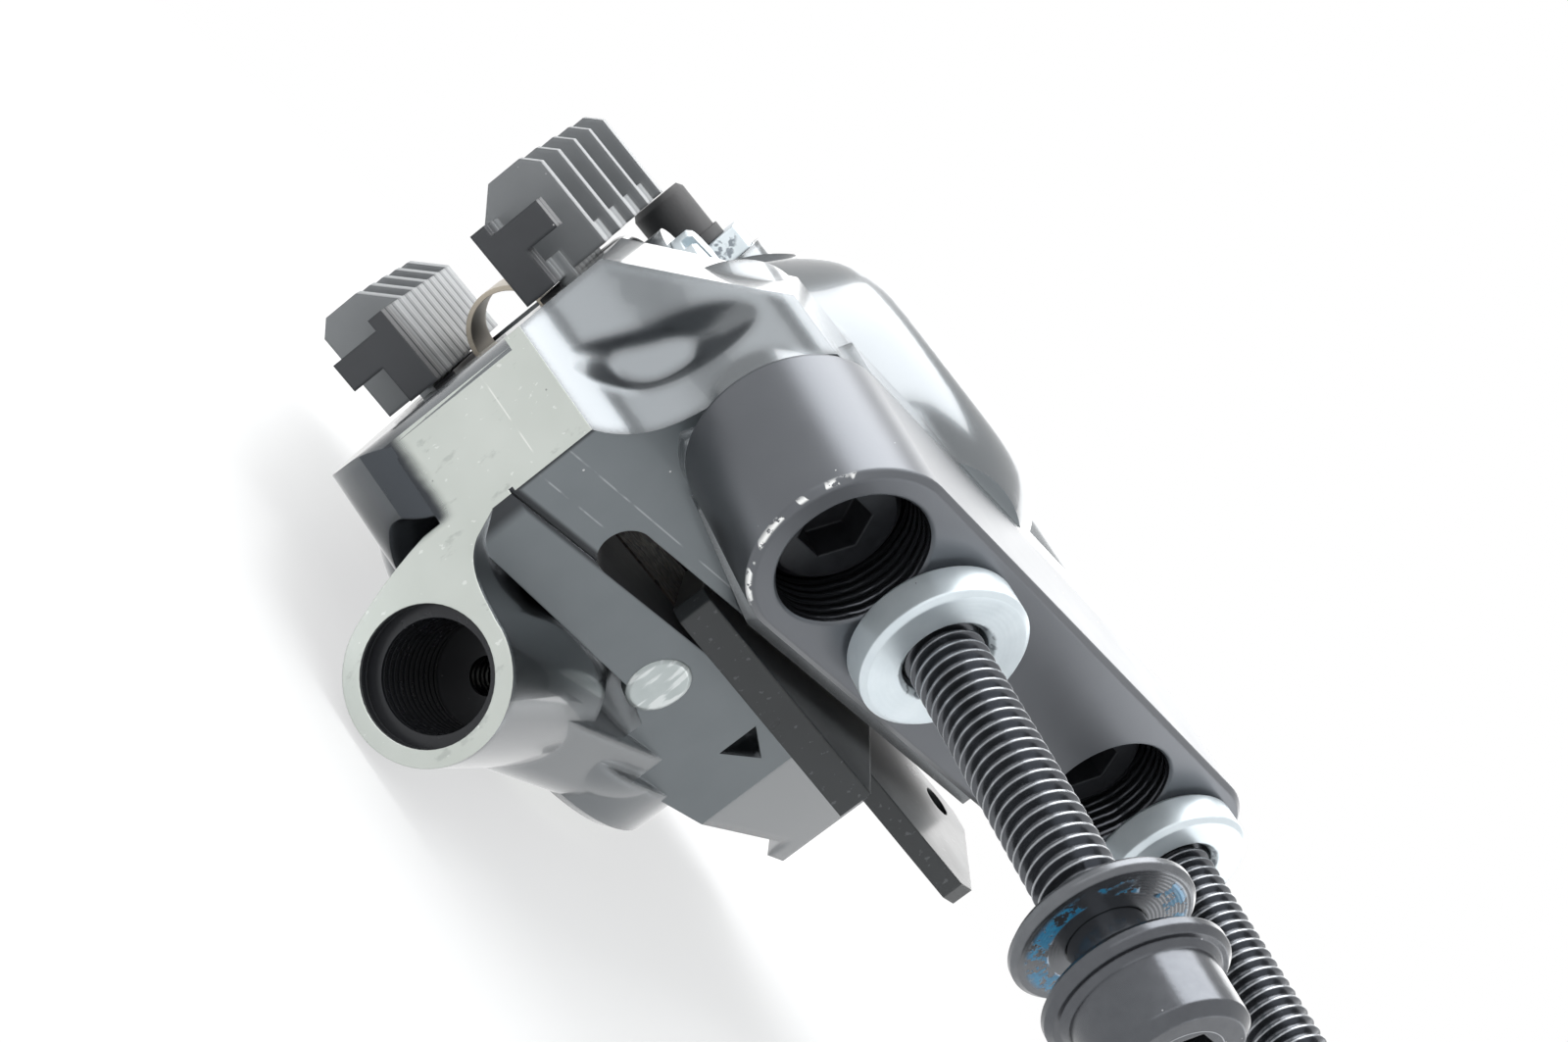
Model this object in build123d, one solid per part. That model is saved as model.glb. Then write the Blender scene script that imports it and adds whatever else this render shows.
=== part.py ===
from build123d import *
import math
import os

os.makedirs("parts", exist_ok=True)

# Hydraulic disc brake caliper on its mount bracket, lengths in millimetres
# X runs along the caliper with the hose end at -X, Y points away from the bicycle frame,
# Z points outboard, and the origin is midway between the frame bolts on the bracket's frame face

# Angles and shares
full_turn = 360.0
quarter_turn = full_turn / 4
pad_angle = 37.0
strip_angle = 32.0
thread_depth_share = 0.61
thread_foot_share = 0.46
thread_crest_share = 0.08

# Clearances and the reach of cuts past a face
running_clearance = 0.05
sliding_clearance = 0.03
loose_clearance = 0.2
seat_gap = 0.02
pad_gap = 0.35
overrun = 1.0

# Frame bolts, head washers and spacer rings
bolt_spacing = 34.0
frame_bolt_diameter = 5.0
frame_bolt_pitch = 0.8
thread_crest_drop = 0.03
ring_diameter = 10.85
ring_thickness = 2.7
ring_hole_diameter = 5.5
ring_chamfer = 0.35
washer_diameter = 10.7
washer_thickness = 0.95
washer_distance = 22.65
washer_edge = 0.3
flange_distance = 26.55
flange_diameter = 10.6
flange_thickness = 1.1
flange_edge = 0.35
bolt_shank_diameter = 4.6
bolt_head_diameter = 8.5
bolt_head_height = 4.2
bolt_head_edge = 0.6
bolt_socket_flats = 4.0
bolt_socket_depth = 2.5
bolt_engagement = 9.2
bolt_tip_chamfer = 0.5
bolt_thread_start = 1.2
thread_runout = 0.9

# Mount bracket
bracket_height = 10.94
bracket_width = 12.9
bracket_edge = 0.4
caliper_bolt_offset = 8.9
counterbore_diameter = 9.4
counterbore_depth = 7.4
caliper_bolt_clearance_diameter = 5.3

# Caliper bolts
caliper_bolt_diameter = 5.0
caliper_bolt_head_diameter = 8.5
caliper_bolt_head_height = 4.3
caliper_bolt_reach = 11.5
caliper_bolt_socket_flats = 4.0
caliper_bolt_socket_depth = 2.2
caliper_bolt_head_edge = 0.4

# Rotor, pads and pistons, placed along the tangent t and the radius r of the rotor
rotor_plane_z = -12.36
rotor_radius = 80.0
rotor_reach = 30.5
rotor_slot_width = 3.6
rotor_rim_clearance = 1.2
piston_t = 13.0
piston_drop = 21.1
piston_radius = 9.5
piston_length = 7.0
piston_wall = 1.6
piston_edge = 0.4
lining_width = 18.4
lining_height = 17.0
lining_inner_offset = 1.8
lining_thickness = 1.9
pad_corner_width = 3.5
pad_corner_height = 4.2
lining_groove_width = 1.2
lining_groove_depth = 0.9
plate_thickness = 1.7
plate_margin = 0.3
tab_width = 15.0
tab_rise = 0.2
axle_drop = 5.3
axle_radius = 1.6

# Finned heat sinks
sink_half_width = 12.0
sink_seat_gap = 0.4
sink_web_height = 5.6
sink_height = 7.6
sink_base_height = 1.5
sink_web_thickness = 1.1
sink_near_depth = 4.7
sink_far_depth = 8.5
rib_count = 5
rib_thickness = 1.4
rib_corner = 1.0
rib_start = 5.6
foot_bar_width = 2.4
foot_bar_height = 2.1
foot_bar_rise = 4.8
foot_leg_depth = 2.3
tongue_width = 14.0
tongue_drop = 8.0
tongue_thickness = 1.2
rivet_radius = 0.9
rivet_spacing = 10.0
rivet_drop = 2.2
rivet_head_radius = 1.4
rivet_head_height = 0.4

# Pad return spring
spring_thickness = 0.35
spring_width = 6.0
spring_rise = 2.8
spring_foot_gap = 1.6
spring_half_span = 3.0
spring_toe = 0.9

# Transport spacer
spacer_thickness = 2.5
spacer_near_t = -1.0
spacer_far_t = 23.0
spacer_top_r = 22.3
spacer_bottom_r = 5.0
spacer_slot_width = 7.0
spacer_slot_bottom_r = 12.0
spacer_corner = 0.8
handle_thickness = 1.6
handle_near_t = 5.0
handle_far_t = 19.0
handle_bottom_r = -6.8
handle_corner = 1.2
handle_hole_radius = 1.2
handle_hole_t = 16.4
handle_hole_r = -3.4

# Piston seals
seal_width = 1.6
seal_depth = 1.2
seal_offset = 2.6

# Piston bore cap on the inboard side
cap_radius = 10.6
cap_flange_radius = 11.3
cap_flange_thickness = 1.0
cap_plug_length = 2.6
cap_pin_radius = 1.0
cap_pin_depth = 1.2
cap_pin_circle_radius = 8.0
cap_pin_count = 4
cap_hub_radius = 4.5
cap_hub_depth = 0.5
cap_face_z = -28.6
cap_seal_radius = 0.5
cap_seal_land = 0.7
bore_floor_gap = 0.3

# Caliper body core
underside_y = 12.28
face_r = 42.6
core_near_t = -12.0
core_inboard_z = -24.8
core_outboard_z = -3.6
core_round = 4.5
core_outboard_round = 1.5
near_corner_radius = 8.7
near_top_radius = 3.0
machining_allowance = 0.3
far_wall_t = 28.6
far_corner_radius = 6.5
far_shoulder_r = 9.0
far_shoulder_radius = 5.0
foot_end_x = 14.6
foot_end_y = 20.0
foot_end_radius = 2.0
far_relief_x = 0.0
far_relief_height = 4.2
far_slope_t = 5.0
far_slope_z = -22.2

# Near lobe: its flank is given as depth behind the machined plane against Z,
# and its shoulder as r against Z
lobe_start_z = -7.8
lobe_slope_depth = 2.9
lobe_slope_z = -4.8
lobe_flank_depth = 3.8
lobe_flank_z = -1.0
lobe_crown_depth = 6.4
lobe_crown_z = 5.8
lobe_face_z = -2.2
lobe_shoulder_drop = 4.1
lobe_shoulder_z = 1.5
lobe_top_drop = 8.8
lobe_top_z = 5.6
lobe_base_drop = 18.6
lobe_base_z = -9.0
lobe_far_t = 3.0
lobe_far_base_t = 8.0

# Scoop in the near lobe's flank
scoop_z = -2.2
scoop_rise = 8.0
scoop_centre_depth = 2.9
scoop_tilt_angle = 21.8
scoop_half_length = 5.4
scoop_half_width = 2.75
scoop_depth = 2.2
scoop_floor_share = 0.5
scoop_outline_shares = (
    (-0.98, 0.95), (-0.93, 0.1), (-0.6, -0.65), (0.0, -1.0), (0.75, -0.85), (1.0, -0.6), (0.55, 0.35), (-0.1, 0.8))

# Outboard housing, turned about the piston axis
outboard_crown_radius = 6.0
outboard_face_z = 9.4
outboard_shoulder_radius = 12.6
outboard_shoulder_z = 5.6
outboard_wall_radius = 15.6
outboard_wall_z = -1.0
outboard_base_z = -10.0

# Inboard housing
inboard_t = 13.2
inboard_drop = 17.2
inboard_wall_radius = 15.2
inboard_wall_z = -24.0
inboard_shoulder_radius = 13.9
inboard_shoulder_z = -27.4
inboard_start_z = -16.0
inboard_floor_radius = 11.0
cap_boss_radius = 12.0
cap_boss_edge = 0.6

# Foot on the bracket
foot_web_near_x = -31.0
foot_web_near_z = -5.2
foot_web_far_x = -15.2
foot_web_far_z = -10.4
near_boss_radius = 5.3
near_boss_top_y = 24.0
far_boss_top_y = 24.5
boss_crown = 1.6

# Hose port
port_x = -32.15
port_y = 7.58
port_z = -24.43
port_outer_radius = 5.4
port_counterbore_radius = 4.3
port_counterbore_depth = 1.3
port_thread_radius = 3.5
port_thread_length = 9.5
port_drill_radius = 1.3
port_drill_length = 9.1
port_boss_length = 15.0
port_boss_end_radius = 5.9
neck_near_side = -2.2
neck_top_side = 2.1
neck_top_rise = 6.3
neck_shoulder_side = 4.6
neck_shoulder_rise = 6.8
strip_edge_side = 5.9
strip_edge_rise = 11.6
neck_end_side = 9.0
neck_end_rise = 5.5
neck_heel_side = 7.3
neck_heel_rise = 4.75
neck_bend_side = 6.15
neck_bend_rise = 3.5
neck_waist_side = 5.7
neck_waist_rise = 2.2
neck_depth = 6.5

# Painted valley between the port boss and the machined underside
valley_near_x = -36.0
valley_near_z = -17.6
valley_far_x = -15.7
valley_far_z = -19.3
valley_end_x = -9.3
valley_end_z = -22.1
valley_inboard_x = -20.0
valley_inboard_z = -25.0
valley_roof_y = 16.4
bore_guard_radius = 11.4
wall_rim_z = -22.0
wall_low_z = -28.9
wall_round = 2.5
wall_near_x = -30.0
wall_near_y = 5.85
wall_far_x = -8.0
wall_far_y = 12.3
wall_top_x = -30.5
wall_top_y = 13.5
wall_back_x = -21.0
wall_back_y = 32.0

# Underside groove and passage plug
groove_width = 0.3
groove_depth = 0.25
groove_z = -13.8
groove_end_x = -26.0
plug_radius = 2.3
plug_depth = 0.9
plug_crown = 0.15
plug_x = -14.2
plug_z = -17.9

# Notch where the pad pocket breaks through the underside
notch_near_x = -5.0
notch_far_x = -1.9
notch_outboard_z = -16.0
notch_inboard_z = -19.2
notch_height = 2.4

# Bleed screw and cap
bleed_t = 27.6
bleed_z = -1.5
bleed_seat_drop = 6.7
bleed_boss_radius = 4.2
bleed_boss_bottom_r = 24.0
bleed_thread_radius = 3.0
bleed_thread_length = 6.0
bleed_hex_flats = 7.0
bleed_hex_height = 2.0
bleed_neck_radius = 1.3
bleed_nipple_radius = 1.6
bleed_nipple_height = 4.0
bleed_bore_radius = 0.6
cap_wall = 0.6
cap_end_thickness = 0.9
cap_lip_height = 0.9
cap_lip_radius = 2.5

# Pad axle
axle_head_radius = 2.9
axle_head_height = 1.5
axle_boss_radius = 4.0
axle_boss_z = -0.6
axle_inboard_boss_z = -23.8
axle_slot_width = 0.9
axle_slot_depth = 0.8
axle_end_z = -25.6
axle_groove_depth = 0.35
clip_thickness = 0.6
clip_outer_radius = 3.1
clip_gap = 1.0

# Directions in the XY plane
pad_sine = math.sin(math.radians(pad_angle))
pad_cosine = math.cos(math.radians(pad_angle))
strip_sine = math.sin(math.radians(strip_angle))
strip_cosine = math.cos(math.radians(strip_angle))


def place(t, r, z=0.0):
    """Position of a point given along the tangent, the radius and Z."""
    return Vector(t * pad_sine - r * pad_cosine, t * pad_cosine + r * pad_sine, z)


# Turns shapes made with X along the tangent and Y along the radius into the part's frame
local_frame = Location((0, 0, 0), (0, 0, quarter_turn - pad_angle))
# Radii measured from the machined face that the heat sinks stand over
piston_r = face_r - piston_drop
axle_r = face_r - axle_drop
tab_top_r = face_r + tab_rise
tongue_bottom_r = face_r - tongue_drop
rivet_r = face_r - rivet_drop
sink_bottom_r = face_r + sink_seat_gap
sink_web_top_r = sink_bottom_r + sink_web_height
sink_top_r = sink_bottom_r + sink_height
foot_bar_top_r = sink_bottom_r + foot_bar_rise
spring_top_r = face_r + spring_rise
spring_bottom_r = piston_r + lining_height / 2 + spring_foot_gap
bleed_seat_r = face_r - bleed_seat_drop
lobe_shoulder_r = face_r - lobe_shoulder_drop
lobe_top_r = face_r - lobe_top_drop
lobe_base_r = face_r - lobe_base_drop
inboard_r = face_r - inboard_drop

piston_x = place(piston_t, piston_r).X
piston_y = place(piston_t, piston_r).Y
bolt_x_near = -bolt_spacing / 2
bolt_x_far = bolt_spacing / 2
caliper_x_near = bolt_x_near - caliper_bolt_offset
caliper_x_far = bolt_x_far - caliper_bolt_offset

# Offsets of the pad layers from the rotor plane
plate_inner_offset = lining_inner_offset + lining_thickness
plate_outer_offset = plate_inner_offset + plate_thickness
tongue_outer_offset = plate_outer_offset + tongue_thickness
pocket_offset = plate_outer_offset + pad_gap
relief_offset = tongue_outer_offset + rivet_head_height + loose_clearance
piston_near_offset = plate_outer_offset + seat_gap
piston_far_offset = piston_near_offset + piston_length
seal_near_offset = plate_outer_offset + seal_offset
bore_radius = piston_radius + sliding_clearance
seal_groove_radius = piston_radius + seal_depth
hub_r = rotor_reach - rotor_radius


def save(shape, name):
    shape.label = name
    export_step(shape, "parts/" + name + ".step")


def round_z(radius, z_low, z_high, x=0.0, y=0.0):
    """Cylinder along Z between two heights."""
    body = Cylinder(radius, z_high - z_low, align=(Align.CENTER, Align.CENTER, Align.MIN))
    return Pos(x, y, z_low) * body


def round_y(radius, y_low, y_high, x=0.0, z=0.0):
    """Cylinder along Y between two heights."""
    body = Cylinder(radius, y_high - y_low, align=(Align.CENTER, Align.CENTER, Align.MIN))
    return Location((x, y_low, z), (-quarter_turn, 0, 0)) * body


def cone_y(radius_low, radius_high, y_low, y_high, x=0.0, z=0.0):
    """Cone along Y between two heights."""
    body = Cone(radius_low, radius_high, y_high - y_low, align=(Align.CENTER, Align.CENTER, Align.MIN))
    return Location((x, y_low, z), (-quarter_turn, 0, 0)) * body


def span_box(low, high):
    """Box between two corners."""
    size = [b - a for a, b in zip(low, high)]
    box = Box(size[0], size[1], size[2], align=(Align.MIN, Align.MIN, Align.MIN))
    return Pos(low[0], low[1], low[2]) * box


def turned(points):
    """Solid of revolution about Z from (radius, z) points."""
    face = make_face(Polyline([Vector(r, 0, z) for r, z in points], close=True))
    return revolve(face, Axis.Z, full_turn)


def along_y(shape, x):
    """Stands a shape made along Z up along +Y."""
    return Location((x, 0, 0), (-quarter_turn, 0, 0)) * shape


def slab(points, z_low, z_high):
    """Straight sided outline in the XY plane, extruded between two heights."""
    face = make_face(Polyline([Vector(x, y, z_low) for x, y in points], close=True))
    return extrude(face, z_high - z_low, dir=(0, 0, 1))


def hexagon_prism(flats, height):
    """Hexagonal prism along +Z."""
    return extrude(RegularPolygon(flats / 2, 6, major_radius=False), height)


def offsets_to_z(side, near, far):
    """Heights of two offsets from the rotor plane, side +1 outboard and -1 inboard."""
    return sorted((rotor_plane_z + side * near, rotor_plane_z + side * far))


def offset_box(side, t_low, t_high, r_low, r_high, near, far):
    z_low, z_high = offsets_to_z(side, near, far)
    return span_box((t_low, r_low, z_low), (t_high, r_high, z_high))


def offset_round(side, radius, t, r, near, far):
    z_low, z_high = offsets_to_z(side, near, far)
    return round_z(radius, z_low, z_high, t, r)


def offset_slab(points, side, near, far):
    z_low, z_high = offsets_to_z(side, near, far)
    return slab(points, z_low, z_high)


# Mount bracket
def make_bracket():
    radius = bracket_width / 2
    body = round_y(radius, 0, bracket_height, caliper_x_near) + round_y(radius, 0, bracket_height, bolt_x_far)
    body += span_box((caliper_x_near, 0, -radius), (bolt_x_far, bracket_height, radius))
    body = chamfer(body.faces().sort_by(Axis.Y)[0].edges(), bracket_edge)
    for x in (bolt_x_near, bolt_x_far):
        body -= round_y(frame_bolt_diameter / 2 + seat_gap, -overrun, bracket_height + overrun, x)
    for x in (caliper_x_near, caliper_x_far):
        body -= round_y(counterbore_diameter / 2, -overrun, counterbore_depth, x)
        body -= round_y(caliper_bolt_clearance_diameter / 2, 0, bracket_height + overrun, x)
        body -= cone_y(counterbore_diameter / 2 + bracket_edge / 2, counterbore_diameter / 2,
                       0, bracket_edge / 2, x)
    return body


# Frame bolts with a helical thread, a bare shank and a flanged socket head
def make_thread_ridge(root, depth, low, high):
    """Helical ridge that stands on a core of the root radius between two heights."""
    half_foot = frame_bolt_pitch * thread_foot_share
    half_crest = frame_bolt_pitch * thread_crest_share
    sink = root * thread_crest_share
    helix = Pos(0, 0, low + half_foot) * Helix(frame_bolt_pitch, high - low - 2 * half_foot, root)
    start = Plane(origin=helix @ 0, x_dir=(1, 0, 0), z_dir=helix % 0)
    profile = start * Polygon((-sink, -half_foot), (depth, -half_crest), (depth, half_crest), (-sink, half_foot),
                              align=None)
    return sweep(profile, path=helix, is_frenet=True)


def make_frame_bolt(x):
    crest = frame_bolt_diameter / 2 - thread_crest_drop
    depth = frame_bolt_pitch * thread_depth_share
    root = crest - depth
    thread_top = washer_distance - washer_edge
    head_low = flange_distance + flange_thickness
    head_top = head_low + bolt_head_height
    rod = turned([
        (0, -bolt_engagement), (root, -bolt_engagement), (crest, -bolt_engagement + depth),
        (crest, -bolt_thread_start), (root, -bolt_thread_start), (root, thread_top - thread_runout),
        (bolt_shank_diameter / 2, thread_top), (bolt_shank_diameter / 2, flange_distance + flange_edge),
        (0, flange_distance + flange_edge)])
    rod += make_thread_ridge(root, depth, -bolt_thread_start, thread_top - thread_runout)
    head = turned([
        (0, flange_distance), (flange_diameter / 2 - flange_edge, flange_distance),
        (flange_diameter / 2, flange_distance + flange_edge), (flange_diameter / 2, head_low - flange_edge),
        (flange_diameter / 2 - flange_edge, head_low), (bolt_head_diameter / 2 + flange_edge, head_low),
        (bolt_head_diameter / 2, head_low + flange_edge), (bolt_head_diameter / 2, head_top - bolt_head_edge),
        (bolt_head_diameter / 2 - bolt_head_edge, head_top), (0, head_top)])
    head -= Pos(0, 0, head_top - bolt_socket_depth) * hexagon_prism(bolt_socket_flats, bolt_socket_depth * 2)
    return Location((x, 0, 0), (quarter_turn, 0, 0)) * (rod + head)


def make_head_washer(x):
    outer = washer_diameter / 2
    inner = bolt_shank_diameter / 2 + running_clearance
    low = -washer_distance - washer_thickness
    high = -washer_distance
    return along_y(turned([
        (inner, low), (outer - washer_edge, low), (outer, low + washer_edge), (outer, high - washer_edge),
        (outer - washer_edge, high), (inner, high)]), x)


def make_spacer_ring(x):
    outer = ring_diameter / 2
    inner = ring_hole_diameter / 2
    low = -ring_thickness
    high = -seat_gap
    return along_y(turned([
        (inner + ring_chamfer, low), (outer - ring_chamfer, low), (outer, low + ring_chamfer),
        (outer, high - ring_chamfer), (outer - ring_chamfer, high), (inner + ring_chamfer, high),
        (inner, high - ring_chamfer), (inner, low + ring_chamfer)]), x)


# Bolts that hold the caliper to the bracket from inside its counterbores
def make_caliper_bolt(x):
    shank = caliper_bolt_diameter / 2
    head = caliper_bolt_head_diameter / 2
    high = counterbore_depth - seat_gap
    low = high - caliper_bolt_head_height
    tip = bracket_height + caliper_bolt_reach
    solid = turned([
        (0, low), (head - caliper_bolt_head_edge, low), (head, low + caliper_bolt_head_edge), (head, high),
        (shank, high), (shank, tip - bolt_tip_chamfer), (shank - bolt_tip_chamfer, tip), (0, tip)])
    solid -= Pos(0, 0, low - caliper_bolt_socket_depth) * hexagon_prism(
        caliper_bolt_socket_flats, caliper_bolt_socket_depth * 2)
    return along_y(solid, x)


# Brake pads
def make_lining(side):
    t_low, t_high = piston_t - lining_width / 2, piston_t + lining_width / 2
    r_low, r_high = piston_r - lining_height / 2, piston_r + lining_height / 2
    across, up = pad_corner_width, pad_corner_height
    body = offset_slab([
        (t_low + across, r_low), (t_high - across, r_low), (t_high, r_low + up), (t_high, r_high),
        (t_low, r_high), (t_low, r_low + up)],
        side, lining_inner_offset, plate_inner_offset)
    half = lining_groove_width / 2
    body -= offset_box(side, piston_t - half, piston_t + half, r_low - overrun, r_high + overrun,
                       0, lining_inner_offset + lining_groove_depth)
    return local_frame * body


def rivet_places():
    return [(piston_t + k * rivet_spacing / 2, rivet_r) for k in (-1, 1)]


def make_plate(side):
    half = lining_width / 2 + plate_margin
    tab = tab_width / 2
    across, up = pad_corner_width, pad_corner_height
    low = piston_r - lining_height / 2 - plate_margin
    high = piston_r + lining_height / 2 + plate_margin
    shoulder = tongue_bottom_r
    body = offset_slab([
        (piston_t - half + across, low), (piston_t + half - across, low), (piston_t + half, low + up),
        (piston_t + half, high), (piston_t + tab, shoulder), (piston_t + tab, tab_top_r),
        (piston_t - tab, tab_top_r), (piston_t - tab, shoulder), (piston_t - half, high),
        (piston_t - half, low + up)], side, plate_inner_offset, plate_outer_offset)
    body -= offset_round(side, axle_radius + loose_clearance, piston_t, axle_r, 0, tongue_outer_offset)
    for t, r in rivet_places():
        body -= offset_round(side, rivet_radius, t, r, 0, tongue_outer_offset)
    return local_frame * body


def rib_positions():
    first = piston_t - sink_half_width + rib_start
    step = (piston_t + sink_half_width - rib_thickness - first) / (rib_count - 1)
    return [first + k * step for k in range(rib_count)]


def sink_depth(t):
    """Depth of the heat sink, which flares from its hooked foot to its far end."""
    share = (t - piston_t + sink_half_width) / (2 * sink_half_width)
    return sink_near_depth + (sink_far_depth - sink_near_depth) * share


def make_rib(side, t):
    """One fin across the tangent, its top corners cut off."""
    inner, outer = plate_inner_offset, plate_inner_offset + sink_depth(t)
    outline = [(sink_bottom_r, inner), (sink_bottom_r, outer), (sink_top_r - rib_corner, outer),
               (sink_top_r, outer - rib_corner), (sink_top_r, inner + 2 * rib_corner),
               (sink_top_r - 2 * rib_corner, inner)]
    face = make_face(Polyline(
        [Vector(t, r, rotor_plane_z + side * offset) for r, offset in outline], close=True))
    return extrude(face, rib_thickness, dir=(1, 0, 0))


def make_heat_sink(side):
    t_low, t_high = piston_t - sink_half_width, piston_t + sink_half_width
    inner = plate_inner_offset
    outer = inner + sink_far_depth
    base_top = sink_bottom_r + sink_base_height
    tongue = tongue_width / 2
    body = offset_box(side, t_low, t_high, sink_bottom_r, sink_web_top_r, inner, inner + sink_web_thickness)
    body += offset_box(side, piston_t - tongue, piston_t + tongue, tongue_bottom_r, base_top,
                       plate_outer_offset, tongue_outer_offset)
    ribs = rib_positions()
    for t in ribs:
        body += make_rib(side, t)
    for t, t_next in zip(ribs, ribs[1:]):
        body += offset_box(side, t, t_next, sink_bottom_r, base_top, inner, inner + sink_depth(t))
    # hooked foot at the hose end: a leg beside the rotor under a bar that reaches outwards
    bar_low = foot_bar_top_r - foot_bar_height
    bar_depth = inner + sink_near_depth
    body += offset_box(side, t_low, t_low + foot_bar_width, sink_bottom_r, foot_bar_top_r, inner,
                       inner + foot_leg_depth)
    body += offset_box(side, t_low, t_low + foot_bar_width, bar_low, foot_bar_top_r, inner, bar_depth)
    body += offset_box(side, t_low, ribs[0], sink_bottom_r, base_top, inner, inner + foot_leg_depth)
    body -= offset_round(side, axle_radius + loose_clearance, piston_t, axle_r, 0, outer)
    for t, r in rivet_places():
        body -= offset_round(side, rivet_radius, t, r, 0, outer)
    return local_frame * body


def make_rivet(side, t, r):
    inner, outer = plate_inner_offset, tongue_outer_offset
    solid = offset_round(side, rivet_radius, t, r, inner, outer)
    solid += offset_round(side, rivet_head_radius, t, r, outer, outer + rivet_head_height)
    solid += offset_round(side, rivet_head_radius, t, r, inner - rivet_head_height, inner)
    return local_frame * solid


# Pistons and their seals
def make_piston(side):
    near, far = piston_near_offset, piston_far_offset
    body = offset_round(side, piston_radius, piston_t, piston_r, near, far)
    body = chamfer(body.edges().filter_by(GeomType.CIRCLE), piston_edge)
    body -= offset_round(side, piston_radius - piston_wall, piston_t, piston_r,
                         near - overrun, far - 2 * piston_wall)
    body += offset_round(side, piston_radius / 3, piston_t, piston_r, near + piston_wall, far - piston_wall)
    return local_frame * body


def make_piston_seal(side):
    near = seal_near_offset
    ring = offset_round(side, seal_groove_radius, piston_t, piston_r, near, near + seal_width)
    ring -= offset_round(side, bore_radius, piston_t, piston_r, 0, near + seal_width + overrun)
    return local_frame * ring


# Return spring: one strip bent over the rotor, with an eye round the pad axle in each leg
def make_return_spring():
    outer = spring_half_span
    inner = outer - spring_thickness
    arch_r = spring_top_r - outer
    t_low, t_high = piston_t - spring_width / 2, piston_t + spring_width / 2
    arch = Location((0, arch_r, rotor_plane_z), (0, quarter_turn, 0)) * (
        round_z(outer, t_low, t_high) - round_z(inner, t_low - overrun, t_high + overrun))
    arch &= span_box((t_low - overrun, arch_r, rotor_plane_z - 2 * outer),
                     (t_high + overrun, arch_r + 2 * outer, rotor_plane_z + 2 * outer))
    strip = arch
    for side in (-1, 1):
        strip += offset_box(side, t_low, t_high, spring_bottom_r, arch_r, inner, outer)
        strip += offset_box(side, t_low, t_high, spring_bottom_r, spring_bottom_r + spring_thickness,
                            inner - spring_toe, outer)
        strip -= offset_round(side, axle_radius + running_clearance, piston_t, axle_r, 0, outer + overrun)
    return local_frame * strip


# Transport spacer between the pads
def make_pad_spacer():
    half = spacer_thickness / 2
    c = spacer_corner
    plate = slab([
        (spacer_near_t, spacer_bottom_r), (spacer_far_t, spacer_bottom_r), (spacer_far_t, spacer_top_r - c),
        (spacer_far_t - c, spacer_top_r), (spacer_near_t + c, spacer_top_r), (spacer_near_t, spacer_top_r - c)],
        rotor_plane_z - half, rotor_plane_z + half)
    slot = spacer_slot_width / 2
    plate -= span_box((piston_t - slot, spacer_slot_bottom_r, rotor_plane_z - spacer_thickness),
                      (piston_t + slot, spacer_top_r + overrun, rotor_plane_z + spacer_thickness))
    thin = handle_thickness / 2
    k = handle_corner
    handle = slab([
        (handle_near_t, spacer_bottom_r + overrun), (handle_near_t, handle_bottom_r + k),
        (handle_near_t + k, handle_bottom_r), (handle_far_t - k, handle_bottom_r),
        (handle_far_t, handle_bottom_r + k), (handle_far_t, spacer_bottom_r + overrun)],
        rotor_plane_z - thin, rotor_plane_z + thin)
    handle -= round_z(handle_hole_radius, rotor_plane_z - half, rotor_plane_z + half,
                      handle_hole_t, handle_hole_r)
    return local_frame * (plate + handle)


# Bore cap and its O-ring
cap_inner_z = cap_face_z + cap_flange_thickness + cap_plug_length
cap_seal_z = cap_face_z + cap_flange_thickness + cap_seal_radius + cap_seal_land


def make_bore_cap():
    body = round_z(cap_radius, cap_face_z + cap_flange_thickness, cap_inner_z, piston_x, piston_y)
    flange = round_z(cap_flange_radius, cap_face_z, cap_face_z + cap_flange_thickness, piston_x, piston_y)
    body += chamfer(flange.faces().sort_by(Axis.Z)[0].edges(), cap_flange_thickness / 3)
    body -= round_z(cap_hub_radius, cap_face_z - overrun, cap_face_z + cap_hub_depth, piston_x, piston_y)
    for k in range(cap_pin_count):
        angle = math.radians(full_turn * (k + 1 / 2) / cap_pin_count)
        body -= round_z(cap_pin_radius, cap_face_z - overrun, cap_face_z + cap_pin_depth,
                        piston_x + cap_pin_circle_radius * math.cos(angle),
                        piston_y + cap_pin_circle_radius * math.sin(angle))
    return body - Pos(piston_x, piston_y, cap_seal_z) * Torus(cap_radius, cap_seal_radius)


def make_cap_seal():
    ring = Pos(piston_x, piston_y, cap_seal_z) * Torus(cap_radius, cap_seal_radius)
    return ring & round_z(cap_radius, cap_seal_z - overrun, cap_seal_z + overrun, piston_x, piston_y)


# Pad axle along Z with a slotted head, and its clip
axle_spot = place(piston_t, axle_r)


def make_axle():
    head_low = axle_boss_z + seat_gap
    head_top = head_low + axle_head_height
    body = round_z(axle_radius, axle_end_z, head_low, axle_spot.X, axle_spot.Y)
    head = round_z(axle_head_radius, head_low, head_top, axle_spot.X, axle_spot.Y)
    body += chamfer(head.faces().sort_by(Axis.Z)[-1].edges(), axle_slot_depth / 3)
    body -= span_box(
        (axle_spot.X - 2 * axle_head_radius, axle_spot.Y - axle_slot_width / 2, head_top - axle_slot_depth),
        (axle_spot.X + 2 * axle_head_radius, axle_spot.Y + axle_slot_width / 2, head_top + overrun))
    return body - clip_groove()


def clip_heights():
    low = axle_end_z + clip_thickness
    return low, low + clip_thickness


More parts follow.
